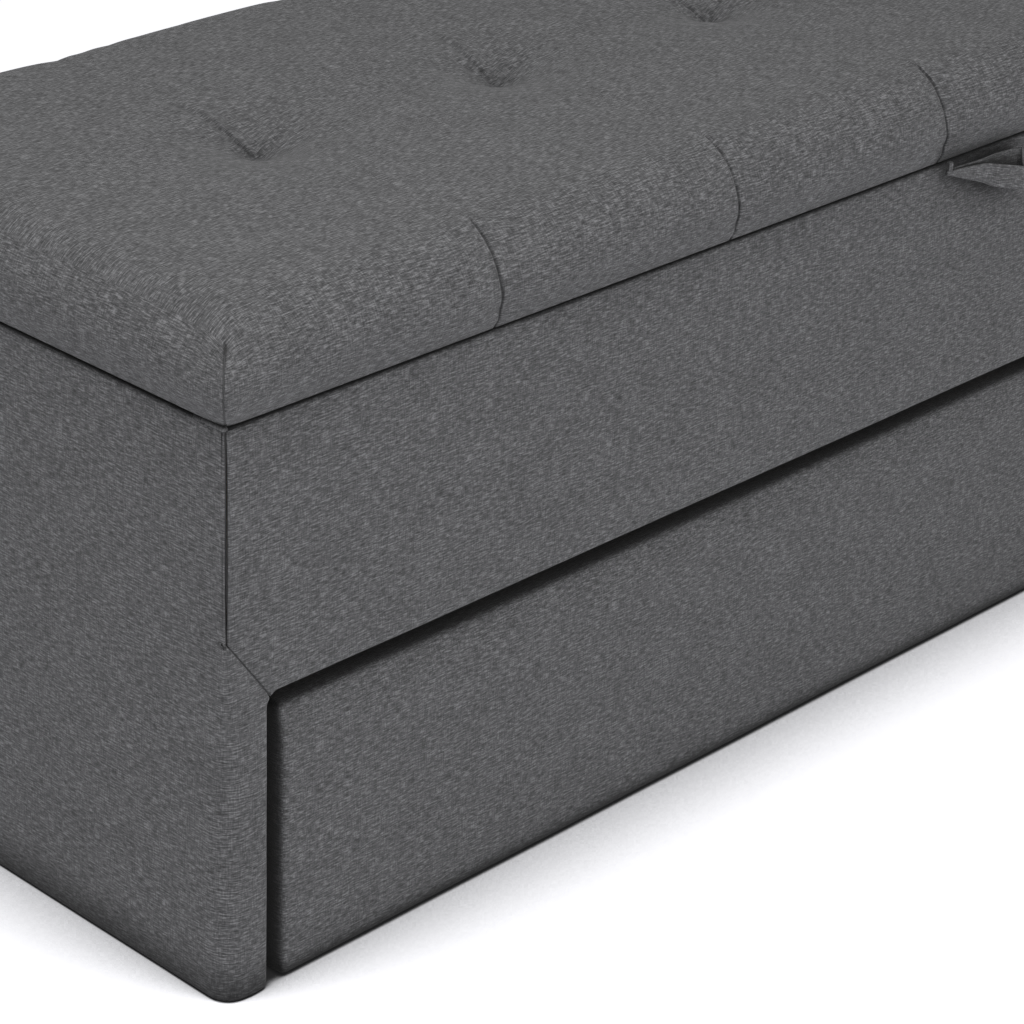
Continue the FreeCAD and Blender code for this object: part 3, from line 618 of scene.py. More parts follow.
def lid_cushion():
    """The tufted cushion: its fabric net, drawn in at tufts and seams, then settled and creased."""
    thing = lid_net()
    points = coordinates(thing)
    top = smooth_step((points[:, 2] - LID_BOARD_HIGH.z) / (40 * MM))
    points[:, 2] -= tuft_pull(points) * top
    points[:, 1] -= np.sign(points[:, 1] - LID_MID_Y) * seam_pull(points, points[:, 2])
    points[:, 2] += 1.2 * MM * top * ripple(points, 0.16, 1)
    points += corner_seams(points)
    move_to(thing, points)
    hold = np.where(points[:, 2] < LID_LOW.z + 8 * MM, 1.0, 0.0)
    for x in TUFT_X:
        away = np.hypot(points[:, 0] - x - TUFT_SHIFT, points[:, 1] - TUFT_Y)
        hold = np.maximum(hold, np.exp(-(away / (9 * MM)) ** 2) * top)
    corner = np.minimum(LID_OUT_X - np.abs(points[:, 0]),
                        LID_OUT_Y - np.abs(points[:, 1] - LID_MID_Y))
    hold = np.maximum(hold, 0.6 * (np.abs(points[:, 0]) > LID_OUT_X - 14 * MM)
                      * (np.abs(points[:, 1] - LID_MID_Y) > LID_OUT_Y - 14 * MM)
                      * (corner < 14 * MM))
    relax(thing, hold, 2.5, 0.012, 5 * MM)
    subdivide(thing)
    points = coordinates(thing)
    shift = np.zeros(len(points))
    dice = np.random.default_rng(7)
    for x in TUFT_X:
        near = np.hypot(points[:, 0] - x - TUFT_SHIFT, points[:, 1] - TUFT_Y) < 140 * MM
        near &= points[:, 2] > LID_BOARD_HIGH.z + 10 * MM
        for degrees, reach, strength in CREASES:
            turn = math.radians(degrees + dice.uniform(-9, 9))
            length = reach * dice.uniform(0.85, 1.2) * MM
            shift[near] += crease(points[near], x + TUFT_SHIFT, TUFT_Y, turn, length, 2.9 * MM,
                                  1.7 * MM * strength * dice.uniform(0.8, 1.15))
        side = points[:, 1] < LID_MID_Y
        for facing in (side, ~side):
            local = points[facing]
            from_edge = LID_OUT_Y - np.abs(local[:, 1] - LID_MID_Y)
            fade = 1 - smooth_step((from_edge - 22 * MM) / (40 * MM))
            lean = -0.10 * np.clip(from_edge, 0, 1) + 1.5 * MM * np.sin(local[:, 2] * 90)
            across = (local[:, 0] - x - lean) / (1.0 * MM)
            shift[facing] -= 1.7 * MM * np.exp(-across ** 2) * fade
    move_to(thing, along_normals(thing, points, shift))
    dress(thing, "lid", ["lid_pad"])
    return thing


lid_cushion()

# ---- the fabric over the box ----
SEAM = 1.6 * MM            # a seam's distance in from the corner it follows
SEAM_ROUND = 2.2 * MM
SLIT = 0.22 * MM           # half the width of the line between two sewn panels
EDGE_ROUND = 5 * MM        # rolled free edges
TOP_ROUND = 3 * MM
BACK_ROUND = 6 * MM
SKIN = 2 * MM              # fabric with its backing
FLOOR_GAP = 0.4 * MM       # no cover hangs lower than this
HEM_EDGE = 2.5 * MM        # rolled lower edges
OPENING_ROUND = 9 * MM     # the opening's upper corners
CORNER_CUT = OPENING_ROUND * (1 - math.sqrt(0.5))
LEG_WIDTH = END_X - LEG_X
SEAM_FOOT_X = LEG_X - CORNER_CUT       # lower end of the leg's diagonal seam
SEAM_FOOT_Z = OPENING_Z - CORNER_CUT
BOARD_END_X, BAY_Y, BOARD_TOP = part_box("front_board")[1]
QUARTER = np.array([1, 0.75, 0.5, 0.25, 0]) * math.pi / 2      # angles round a rolled edge


def finish_cover(thing, body, nodes, waviness, seed, levels=1, shell=SKIN):
    """Give a cover its slight waviness and thickness, smooth it, and put it in the frame."""
    points = coordinates(thing)
    wave = 0.7 * ripple(points, 0.19, seed) + 0.3 * ripple(points, 0.06, seed + 1)
    move_to(thing, along_normals(thing, points, wave * waviness))
    if levels:
        subdivide(thing, levels)
    if shell:
        modifier = thing.modifiers.new("Thickness", "SOLIDIFY")
        modifier.thickness = shell
        modifier.offset = -1
        apply_modifiers(thing)
    points = coordinates(thing)
    points[:, 2] = np.maximum(points[:, 2], FLOOR_GAP)
    move_to(thing, points)
    dress(thing, body, nodes)


def outward(thing, centre):
    """Turn a cover's faces away from a point if they face it."""
    mesh = thing.data
    facing = sum(face.normal.dot(face.center - Vector(centre)) * face.area
                 for face in mesh.polygons)
    if facing < 0:
        mesh.flip_normals()


def opening_arc(past):
    """How far the opening's rounded corner has turned in, this far past its start."""
    past = np.clip(past, 0, OPENING_ROUND * math.sqrt(0.5))
    return OPENING_ROUND - np.sqrt(OPENING_ROUND ** 2 - past ** 2)


def lower_edge(x):
    """Height of the upper front's lower edge: level, round the corner, then up the diagonal."""
    rise = (MITRE_Z - SEAM_FOOT_Z) / (END_X - SEAM_FOOT_X)
    level = OPENING_Z - opening_arc(np.abs(x) - LEG_X + OPENING_ROUND)
    return np.maximum(level, SEAM_FOOT_Z + (np.abs(x) - SEAM_FOOT_X) * rise)


def end_columns(edge):
    """Column places along X for a panel between two corner seams: fine at the seams."""
    near = edge - np.array([0, 0.35, 1.0, 2.2, 4, 7, 11, 16, 22, 28, 33, 36.5, 38, 39.1, 40, 41,
                            42.2, 43.6, 45.2, 47, 50, 54, 60]) * MM
    middle = steps(-(edge - 68 * MM), edge - 68 * MM, 9 * MM)
    return np.concatenate([-near, middle, near[::-1]])


def seam_dip(distance):
    """How far a panel turns in beside a seam at this distance from it."""
    reach = np.clip(SEAM_ROUND - distance, 0, SEAM_ROUND)
    return SEAM_ROUND - np.sqrt(SEAM_ROUND ** 2 - reach ** 2)


def upright_rows(face, way, low, roll, swell, count):
    """Rows (y, z) up a panel: rolled lower edge, slightly full face, rolled upper edge.

    way is the direction along Y that leads into the box.
    """
    high = COVER_TOP - TOP_ROUND
    rows = [(face + way * roll * (1 - math.cos(angle)), low + roll * (1 - math.sin(angle)))
            for angle in QUARTER]
    for part in np.linspace(0, 1, count)[1:-1]:
        rows.append((face - way * swell * (1 - (2 * part - 1) ** 4),
                     low + roll + (high - low - roll) * part))
    rows += [(face + way * TOP_ROUND * (1 - math.cos(angle)), high + TOP_ROUND * math.sin(angle))
             for angle in QUARTER[::-1]]
    return rows


def panel_points(columns, rows):
    """A panel's grid of points, and the fabric's length up each of its columns."""
    points = np.empty((len(rows), len(columns), 3))
    points[..., 0] = columns
    for number, (y, z) in enumerate(rows):
        points[number, :, 1] = y
        points[number, :, 2] = z
    climb = np.hypot(*(np.diff(points[..., axis], axis=0) for axis in (1, 2)))
    return points, np.concatenate([np.zeros((1, len(columns))), np.cumsum(climb, axis=0)])


def front_panel():
    """Padded fabric over the upper front, rolled under at the opening and over the top."""
    columns = end_columns(END_X - SEAM)
    low = lower_edge(columns)
    on_leg = smooth_step((np.abs(columns) - SEAM_FOOT_X + 1 * MM) / (5 * MM))
    wrap = (BAY_Y - FACE_Y) * (1 - on_leg) + 3 * MM * on_leg
    roll = EDGE_ROUND * (1 - on_leg) + SEAM_ROUND * on_leg
    under = (1.0, 0.66, 0.33, 0.12)
    rows = [(FACE_Y + roll + (wrap - roll) * part, low) for part in under]
    rows += upright_rows(FACE_Y, 1, low, roll, 1.6 * MM, 27)
    sunk = 1 * MM * on_leg
    rows += [(FACE_Y + TOP_ROUND + (BAY_Y - FACE_Y - TOP_ROUND) * part, COVER_TOP - sunk * part)
             for part in (0.2, 0.6, 1.0)]
    rows.append((BAY_Y, BOARD_TOP - sunk))
    points, length = panel_points(columns, rows)
    face_row = len(under) + len(QUARTER) - 1
    length -= length[face_row] - points[face_row, :, 2]
    flat = np.stack([points[..., 0], length], -1)
    points[..., 1] += seam_dip(END_X - SEAM - np.abs(columns))
    for column, side in ((0, -1), (-1, 1)):
        upright = smooth_step((points[:, column, 2] - MITRE_Z) / (8 * MM))
        points[:, column, 0] -= side * SLIT * upright
        deeper = points[:, [column]].copy()
        deeper[..., 0] -= side * 3 * MM * upright[:, None]
        deeper[..., 1] += 3.5 * MM
        points = np.concatenate([points, deeper][::side], 1)
        flat = np.concatenate([flat, flat[:, [column]] + (side * 4 * MM, 0)][::side], 1)
    panel = Net().grid(points, flat).build("front_panel", FABRIC)
    outward(panel, (0, BAY_Y + 0.1, 0.33))
    finish_cover(panel, "box", ["front_cover"], 0.7 * MM, 11)


def corner_round(z):
    """Radius of the leg's upright corner: small under the seam, fuller down the leg."""
    return SEAM_ROUND + 16 * MM * smooth_step((MITRE_Z - 6 * MM - z) / (150 * MM)) ** 0.8


def cover_levels():
    """An end cover's rows from the hem to the rim: height, and how far it is turned in."""
    high = COVER_TOP - TOP_ROUND
    rows = [(HEM_Z, HEM_EDGE + part * 22 * MM) for part in (0.9, 0.5, 0.2)]
    rows += [(HEM_Z + HEM_EDGE * (1 - math.sin(angle)), HEM_EDGE * (1 - math.cos(angle)))
             for angle in QUARTER]
    for low, top, count in ((HEM_Z + HEM_EDGE, OPENING_Z - OPENING_ROUND, 25),
                            (OPENING_Z - OPENING_ROUND, SEAM_FOOT_Z, 7),
                            (SEAM_FOOT_Z, MITRE_Z, 12), (MITRE_Z, high, 19)):
        rows += [(z, 0.0) for z in np.linspace(low, top, count)[1:]]
    rows += [(high + TOP_ROUND * math.sin(angle), TOP_ROUND * (1 - math.cos(angle)))
             for angle in QUARTER[-2::-1]]
    rows += [(COVER_TOP, TOP_ROUND + part * MM) for part in (8, 16, 25)]
    return rows + [(BOARD_TOP, TOP_ROUND + 25 * MM)]


def around_corner(r, last, count=7):
    """Points (x, y, fabric length) round the leg's corner, from its middle to this angle."""
    return [(-END_X + r - r * math.sin(angle), FACE_Y + r - r * math.cos(angle),
             r * (angle - math.pi / 4)) for angle in np.linspace(math.pi / 4, last, count)]


def wall_row(z, turn_in):
    """One level of the end wall, from the corner seam round to the back."""
    r = corner_round(z)
    seam = smooth_step((z - MITRE_Z) / (8 * MM))
    swell = 1.6 * MM * np.clip(1 - ((z - 0.22) / 0.215) ** 4, 0, 1)
    start, stop = FACE_Y + r, REAR_Y - BACK_ROUND
    row = around_corner(r, math.pi / 2)
    bend = row[-1][2]
    for part in np.linspace(0, 1, 53)[1:]:
        y = start + (stop - start) * part
        row.append((-END_X - swell * (1 - (2 * part - 1) ** 6), y, bend + y - start))
    for angle in np.linspace(0, math.pi / 2, 6)[1:]:
        row.append((-END_X + BACK_ROUND * (1 - math.cos(angle)),
                    stop + BACK_ROUND * math.sin(angle), bend + stop - start + BACK_ROUND * angle))
    end = row[-1][2]
    row.append((-BOARD_END_X - 18 * MM, REAR_Y, end + 4 * MM))
    row.append((-BOARD_END_X - 17.4 * MM, REAR_Y - 3 * MM, end + 7 * MM))
    row = np.array(row)
    deep = row[0] + seam * np.array([3.4, 3.4, -4]) * MM
    row[0, :2] += seam * np.array([0.9 * MM - SLIT, 0.9 * MM + SLIT])
    row[1, :2] += seam * 0.25 * MM
    row = np.concatenate([[deep], row])
    if turn_in > 0:
        row[:, 0] = np.maximum(row[:, 0], -END_X)
        row[:, 0] += turn_in * np.clip((row[:, 1] - FACE_Y) / (turn_in + 1e-6), 0, 1)
        edge = np.minimum(row[:, 1] - FACE_Y, REAR_Y - row[:, 1])
        row[:, 1] += np.where(row[:, 1] < MID_Y, 0.6, -0.6) * np.clip(turn_in - edge, 0, None)
    return row


def leg_row(z, turn_in):
    """One level of the leg's front, from the corner seam to the return inside the opening."""
    r = corner_round(z)
    above = max(0.0, (z - SEAM_FOOT_Z) / (MITRE_Z - SEAM_FOOT_Z))
    if above > 0:
        reach, roll, back = (END_X - SEAM_FOOT_X) * (1 - above), SEAM_ROUND * 0.6, 3 * MM
    else:
        reach = LEG_WIDTH + float(opening_arc(z - OPENING_Z + OPENING_ROUND))
        roll, back = 4 * MM, 26 * MM
    start = -END_X + r
    stop = max(start, -END_X + reach - roll)
    row = around_corner(r, 0)
    bend = row[-1][2]
    for part in np.linspace(0, 1, 9)[1:]:
        x = start + (stop - start) * part
        row.append((x, FACE_Y - 0.6 * MM * math.sin(math.pi * part) * (1 - above),
                    bend - (x - start)))
    end = row[-1][2]
    for angle in np.linspace(0, math.pi / 2, 5)[1:]:
        row.append((stop + roll * math.sin(angle), FACE_Y + roll * (1 - math.cos(angle)),
                    end - roll * angle))
    for number, part in enumerate((0.3, 0.65, 1.0), 1):
        row.append((stop + roll, FACE_Y + roll + back * part,
                    end - roll * math.pi / 2 - number * 8 * MM))
    row = np.array(row)
    if above > 0:
        limit = -END_X + reach + 0.3 * MM
        row[row[:, 0] > limit, 1] += 2.5 * MM
        row[:, 0] = np.minimum(row[:, 0], limit)
    amount = min(turn_in, 12 * MM)
    row[:, 1] += amount * np.clip(1 - (row[:, 1] - FACE_Y) / (12 * MM), 0, 1)
    edge = np.minimum(row[:, 0] + END_X, -LEG_X - row[:, 0])
    row[:, 0] += np.where(row[:, 0] < -END_X + LEG_WIDTH / 2, 0.6, -0.6) * amount \
        * np.clip(1 - edge / (9 * MM), 0, 1)
    return row


def end_cover(sign, name):
    """Padded fabric over an end wall and its leg, from the inner return round to the back."""
    net = Net()
    for make_row, top, flip in ((wall_row, COVER_TOP, False), (leg_row, MITRE_Z, True)):
        points, flat = [], []
        for z, turn_in in cover_levels():
            if z <= top:
                row = make_row(z, turn_in)
                up = z - HEM_Z + (turn_in if z > MITRE_Z else -turn_in)
                points.append(np.column_stack([row[:, :2], np.full(len(row), z)]))
                flat.append(np.column_stack([row[:, 2] + 5.0, np.full(len(row), up)]))
        net.grid(np.array(points), np.array(flat), flip)
    cover = net.build(name, FABRIC, merge=0.12 * MM)
    outward(cover, (-BOARD_END_X, MID_Y, 0.22))
    if sign > 0:
        cover.data.transform(Matrix.Scale(-1, 4, Vector((1, 0, 0))))
        cover.data.flip_normals()
    finish_cover(cover, "box", [name.replace("end", "side")], 0.7 * MM, 21 + sign)


def back_panel():
    """Plain fabric over the back, from the lower hem to the rim under the lid."""
    edge = END_X - 10.4 * MM
    columns = end_columns(edge)
    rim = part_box("back_board")[0].y
    rows = [(REAR_Y - 9 * MM, HEM_Z)] + upright_rows(REAR_Y, -1, HEM_Z, HEM_EDGE, 1.2 * MM, 48)
    rows += [(y, COVER_TOP) for y in (REAR_Y - 9 * MM, REAR_Y - 18 * MM, rim)]
    points, length = panel_points(columns, rows + [(rim, BOARD_TOP)])
    points[..., 1] -= seam_dip(edge - np.abs(columns))
    for side in ("left", "middle", "right"):
        low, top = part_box(f"hinge_leaf_lower_{side}")
        cut = (points[..., 0] > low.x - 7 * MM) & (points[..., 0] < top.x + 7 * MM)
        cut &= points[..., 2] > BOARD_TOP - 5 * MM
        points[cut, 2] = BOARD_TOP - 5 * MM
        points[cut, 1] = np.maximum(points[cut, 1], REAR_Y - 7 * MM)
    flat = np.stack([points[..., 0] + 9.0, length], -1)
    panel = Net().grid(points, flat).build("back_panel", FABRIC)
    outward(panel, (0, 0, 0.22))
    finish_cover(panel, "box", ["back_cover"], 0.7 * MM, 31, levels=0)


def rounded_slab(low, high, size, radius, material, name, crown=0.0):
    """A closed slab with rounded edges; radius(point) lets the roundness change over it."""
    low, high = np.array(low), np.array(high)
    middle, half = (low + high) / 2, (high - low) / 2
    net = Net()
    for axis in range(3):
        a, b = [k for k in range(3) if k != axis]
        rows, columns = steps(-half[b], half[b], size), steps(-half[a], half[a], size)
        for sign in (-1, 1):
            points = np.empty((len(rows), len(columns), 3))
            points[..., a], points[..., b] = np.meshgrid(columns, rows)
            points[..., axis] = sign * half[axis]
            across = sign * (half[0] + points[..., 1]) if axis == 0 else points[..., a]
            flat = np.stack([across, points[..., b]], -1)
            net.grid(points, flat)
    thing = net.build(name, material)
    points = coordinates(thing)
    r = radius(points + middle)[:, None]
    inner = np.clip(points, -(half - r), half - r)
    away = points - inner
    length = np.maximum(np.linalg.norm(away, axis=1, keepdims=True), 1e-9)
    from_middle = np.clip(np.abs(points) / half, 0, 1)
    swell = (1 - from_middle[:, 0] ** 6) * (1 - from_middle[:, 2] ** 6)
    points = inner + away / length * r
    points[:, 1] += np.sign(points[:, 1]) * crown * swell * (points[:, 1] < 0)
    move_to(thing, points + middle)
    return thing


def trundle_front():
    """The trundle's front: a padded slab whose edges are full at the face and flat behind."""
    middle = (TRUNDLE_LOW.y + TRUNDLE_HIGH.y) / 2
    low = TRUNDLE_LOW - Vector((0, 0, 2 * MM))

    def radius(points):
        return 4.0 * MM - 2 * MM * smooth_step((points[:, 1] - middle + 4 * MM) / (8 * MM))

    # this slab's fabric carries the stronger painted shade, darkening its top edge under the upper
    # front
    thing = rounded_slab(low, TRUNDLE_HIGH, 5 * MM, radius, TRUNDLE_FABRIC_MORE_PAINTED_SHADE, "trundle_front_cushion",
                         crown=1.6 * MM)
    points = coordinates(thing)
    near_top = smooth_step((points[:, 2] - TRUNDLE_HIGH.z + 42 * MM) / (42 * MM)) ** 1.7
    at_face = 1 - smooth_step((points[:, 1] - TRUNDLE_LOW.y) / (22 * MM))
    points[:, 1] += 5 * MM * near_top * at_face
    points[:, 2] -= 4.5 * MM * near_top
    near_end = smooth_step((np.abs(points[:, 0]) - TRUNDLE_HIGH.x + 26 * MM) / (26 * MM))
    points[:, 0] -= np.sign(points[:, 0]) * 4.5 * MM * near_end
    move_to(thing, points)
    finish_cover(thing, "trundle", ["trundle_front_cover", "trundle_front_board"], 0.8 * MM, 41,
                 shell=0, levels=1)


front_panel()
end_cover(-1, "end_cover_left")
end_cover(1, "end_cover_right")
back_panel()
trundle_front()


# ---- sewn lines ----
def tube(path, radii, name, material, sides=8):
    """A round tube along a path, its radius given at each point; closed at both ends."""
    path = [Vector(p) for p in path]
    mesh = bpy.data.meshes.new(name)
    points, faces = [], []
    across = None
    for number, place in enumerate(path):
        ahead = path[min(number + 1, len(path) - 1)] - path[max(number - 1, 0)]
        ahead.normalize()
        if across is None:
            across = ahead.orthogonal().normalized()
        across = (across - ahead * across.dot(ahead)).normalized()
        up = ahead.cross(across)
        for side in range(sides):
            turn = 2 * math.pi * side / sides
            points.append(place + (across * math.cos(turn) + up * math.sin(turn)) * radii[number])
    for ring in range(len(path) - 1):
        for side in range(sides):
            a, b = ring * sides + side, ring * sides + (side + 1) % sides
            faces.append((a, b, b + sides, a + sides))
    faces.append(tuple(range(sides))[::-1])
    faces.append(tuple(range(len(points) - sides, len(points))))
    mesh.from_pydata(points, [], faces)
    mesh.polygons.foreach_set("use_smooth", [True] * len(mesh.polygons))
    mesh.materials.append(material)
    return add_object(name, mesh)


def joined(things, name):
    """One object made of several meshes that share their materials."""
    work = bmesh.new()
    for thing in things:
        work.from_mesh(thing.data)
    mesh = bpy.data.meshes.new(name)
    work.to_mesh(mesh)
    work.free()
    for material in things[0].data.materials:
        mesh.materials.append(material)
    for thing in things:
        bpy.data.objects.remove(thing)
    return add_object(name, mesh)


def landed(thing, rays):
    """Where rays, each a start and a direction, first meet a mesh object."""
    found = []
    for start, direction in rays:
        hit, place, _, _ = thing.ray_cast(Vector(start), Vector(direction).normalized())
        if hit:
            found.append(place)
    return found


def smoothed(path, times=2):
    """A path with its small steps evened out."""
    path = np.array([tuple(p) for p in path])
    for _ in range(times):
        path[1:-1] = 0.25 * path[:-2] + 0.5 * path[1:-1] + 0.25 * path[2:]
    return path


RAY_START = 30 * MM        # how far outside the cushion its seams are looked for
STITCH = 1.5 * MM          # spacing of the points along a sewn line
CORNER_THREAD, CROSS_THREAD, BOX_THREAD = 0.55 * MM, 0.3 * MM, 0.36 * MM     # radii


def lid_threads(cushion):
    """The sewn line of each upright corner and of each short seam over the front and back edges."""
    threads = []
    for side_x in (-1, 1):
        for side_y in (-1, 1):
            rays = []
            for z in steps(LID_LOW.z + 2 * MM, TOP_Z - 15 * MM, STITCH):
                start = (side_x * (LID_OUT_X + RAY_START),
                         LID_MID_Y + side_y * (LID_OUT_Y + RAY_START), z)
                rays.append((start, (-side_x, -side_y, 0)))
            path = smoothed(landed(cushion, rays))
            taper = np.minimum(1, np.arange(len(path))[::-1] / 8 + 0.2)
            threads.append(tube(path, CORNER_THREAD * taper, "corner", THREAD))
    centre_z = TOP_Z - ROUND
    for x in TUFT_X:
        for side_y in (-1, 1):
            rays = []
            centre_y = LID_MID_Y + side_y * (LID_OUT_Y - ROUND)
            outer = LID_MID_Y + side_y * (LID_OUT_Y + RAY_START)

            def lean(run):
                return x - 0.05 * run - 1.2 * MM * math.sin(run * 60)

            for run in steps(0, centre_z - LID_LOW.z - 2 * MM, STITCH):
                rays.append(((lean(run), outer, LID_LOW.z + 2 * MM + run), (0, -side_y, 0)))
            base = centre_z - LID_LOW.z
            for angle in steps(0.04, math.pi / 2, 0.04):
                away = Vector((0, side_y * math.cos(angle), math.sin(angle)))
                start = Vector((lean(base + ROUND * angle), centre_y, centre_z)) + away * 0.09
                rays.append((start, -away))
            for run in steps(STITCH, 26 * MM, STITCH):
                start = (lean(base + ROUND * 1.57 + run), centre_y - side_y * run, TOP_Z + 50 * MM)
                rays.append((start, (0, 0, -1)))
            path = smoothed(landed(cushion, rays))
            taper = np.minimum(1, np.arange(len(path))[::-1] / 44)
            threads.append(tube(path, CROSS_THREAD * taper + 0.02 * MM, "cross", THREAD))
    thread = joined(threads, "lid_seam_thread")
    dress(thread, "lid")


def box_threads():
    """The sewn line down each front corner and along the leg's diagonal seam."""
    threads = []
    for side in (-1, 1):
        inset = SEAM + 0.5 * MM
        path = [(side * (END_X - inset), FACE_Y + inset, z)
                for z in steps(COVER_TOP - 2 * MM, MITRE_Z, 4 * MM)]
        for part in steps(0.04, 0.97, 0.04):
            x = END_X - inset - (END_X - SEAM_FOOT_X - inset) * part
            path.append((side * x, FACE_Y + 1.1 * MM, float(lower_edge(x)) + 0.2 * MM))
        path = smoothed(path, 1)
        threads.append(tube(path, np.full(len(path), BOX_THREAD), "corner", THREAD))
    thread = joined(threads, "box_seam_thread")
    dress(thread, "box")


# ---- pull tabs ----
def pull_tab(side, name):
    """A loop of folded fabric strap, gathered at its root and drooping away from it."""
    node = f"pull_tab_{side}"
    low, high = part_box(node)
    roll_low, roll_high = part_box(f"tab_roll_{side}")
    root = Vector(((roll_low.x + roll_high.x) / 2, (roll_low.y + roll_high.y) / 2, roll_high.z))
    sign = -1 if root.x < 0 else 1
    reach = (high.x - root.x) if sign < 0 else (root.x - low.x)
    count = 120
    net = Net()
    rows, flat = [], []
    run = 0.0
    before = None
    for number in range(count + 1):
        t = number / count
        turn = 2 * math.pi * t
        along = (0.5 - 0.5 * math.cos(turn)) ** 0.9
        u = -2.5 * MM + (reach + 0.5 * MM) * along
        belly = math.sin(turn)
        outer = belly > 0
        opening = 1.5 + 3.9 * smooth_step((along - 0.38) / 0.34)
        v = (-1 if outer else 0.9) * MM * opening * min(1, abs(belly) / 0.35) ** 0.6
        v += 0.5 * MM * math.sin(5 * along)
        sag = math.radians(3) * u
        if outer:
            sag += math.radians(4) * u + math.radians(8) * max(0, u - 0.45 * reach)
        height = (4 + 15.5 * min(1, max(0, u) / (55 * MM)) ** 0.9) * MM
        top = high.z + 0.6 * MM - sag * (0.6 + 0.4 * along)
        tilt = (0.9 if outer else -0.4) * math.sin(math.pi * along) * 2.4 * MM
        centre = Vector((root.x - sign * u, root.y + v, 0))
        rows.append((centre, top, height, tilt))
        if before is not None:
            run += (centre - before).length
        before = centre
        flat.append(run)
    half = 1.15 * MM
    section = [(-1, 0.06), (-1, 0.3), (-1, 0.5), (-1, 0.7), (-1, 0.94), (-0.55, 1.0), (0.55, 1.0),
               (1, 0.94), (1, 0.7), (1, 0.5), (1, 0.3), (1, 0.06), (0.55, 0.0), (-0.55, 0.0)]
    section.append(section[0])
    points = np.empty((count + 1, len(section), 3))
    strip = np.empty((count + 1, len(section), 2))
    for number in range(count + 1):
        centre, top, height, tilt = rows[number]
        ahead = rows[(number + 1) % count][0] - rows[(number - 1) % count][0]
        out = Vector((ahead.y, -ahead.x, 0)).normalized()
        for spot, (across, up) in enumerate(section):
            place = centre + out * (half * across + tilt * (up - 0.5))
            points[number, spot] = (place.x, place.y, top - height * (1 - up))
            strip[number, spot] = (flat[number], up * 0.02 + 0.002 * across)
    net.grid(points, strip)
    strap = net.build(name, FABRIC, merge=0.02 * MM)
    subdivide(strap)
    dress(strap, node, [node])


def tab_root(side, name):
    """The gathered end of the strap, pinched and sewn up under the lid's edge."""
    low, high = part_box(f"tab_roll_{side}")
    centre = (low + high) / 2
    net = Net()
    bottom = low.z + 17 * MM
    levels = steps(bottom, high.z - 3 * MM, 1.2 * MM)
    around = np.linspace(0, 2 * math.pi, 41)
    points = np.empty((len(levels), len(around), 3))
    for row, z in enumerate(levels):
        part = (z - bottom) / (high.z - bottom)
        radius = 2.2 * MM * min(1, 0.5 + 2.4 * part)
        fold = 1 + 0.10 * np.sin(7 * around + 2.5 * part) + 0.05 * np.sin(3 * around - part * 4)
        points[row, :, 0] = centre.x + radius * fold * np.cos(around)
        points[row, :, 1] = centre.y + radius * fold * np.sin(around)
        points[row, :, 2] = z
    caps = []
    for row in (0, -1):
        middle = points[row].mean(axis=0)
        caps.append(np.stack([points[row], middle + (points[row] - middle) * 0.5,
                              middle + (points[row] - middle) * 0.02]))
    flat = np.stack(np.meshgrid(around * 4 * MM, levels), -1)
    net.grid(points, flat)
    for cap in caps:
        net.grid(cap, np.stack([flat[0]] * 3))
    knot = net.build(name, FABRIC, merge=0.2 * MM)
    subdivide(knot)
    dress(knot, "lid", [f"tab_roll_{side}"])


# ---- the mattress ----
def mattress():
    """The thin quilted sleeping pad, settled as cloth, with a piped edge above and below."""
    def radius(points):
        return np.full(len(points), 20 * MM)

    pad = rounded_slab(MATTRESS_LOW, MATTRESS_HIGH, 9 * MM, radius, TICKING, "mattress_pad")
    middle = (MATTRESS_LOW + MATTRESS_HIGH) / 2
    points = coordinates(pad)
    hold = np.zeros(len(points))
    face = np.abs(points[:, 2] - middle.z) > (MATTRESS_HIGH.z - middle.z) - 6 * MM
    for column in range(10):
        for row in range(2):
            x = middle.x + (column - 4.5) * (MATTRESS_HIGH.x - MATTRESS_LOW.x) / 10.4
            y = middle.y + (row - 0.5) * 0.17
            away = np.hypot(points[:, 0] - x, points[:, 1] - y)
            pull = 7 * MM / (1 + (away / (24 * MM)) ** 2) ** 1.5 * face
            points[:, 2] -= np.sign(points[:, 2] - middle.z) * pull
            hold = np.maximum(hold, np.exp(-(away / (10 * MM)) ** 2) * face)
    move_to(pad, points)
    relax(pad, hold, 2.0, 0.01, 4 * MM, frames=10)
    subdivide(pad)
    cords = []
    half_x, half_y = (MATTRESS_HIGH.x - MATTRESS_LOW.x) / 2, (MATTRESS_HIGH.y - MATTRESS_LOW.y) / 2
    for level in (MATTRESS_LOW.z + 10 * MM, MATTRESS_HIGH.z - 10 * MM):
        rays = []
        for turn in np.linspace(0, 2 * math.pi, 601):
            c, s = math.cos(turn), math.sin(turn)
            x = math.copysign(abs(c) ** 0.08, c) * half_x if abs(c) > 1e-9 else 0
            y = math.copysign(abs(s) ** 0.08, s) * half_y if abs(s) > 1e-9 else 0
            rays.append(((middle.x + 1.2 * x, middle.y + 1.4 * y, level), (-x * 0.2, -y * 0.4, 0)))
        path = smoothed(landed(pad, rays), 3)
        cords.append(tube(path, np.full(len(path), 2.2 * MM), "cord", PIPING))
    piping = joined(cords, "mattress_piping")
    dress(pad, "trundle", ["mattress"])
    dress(piping, "trundle")


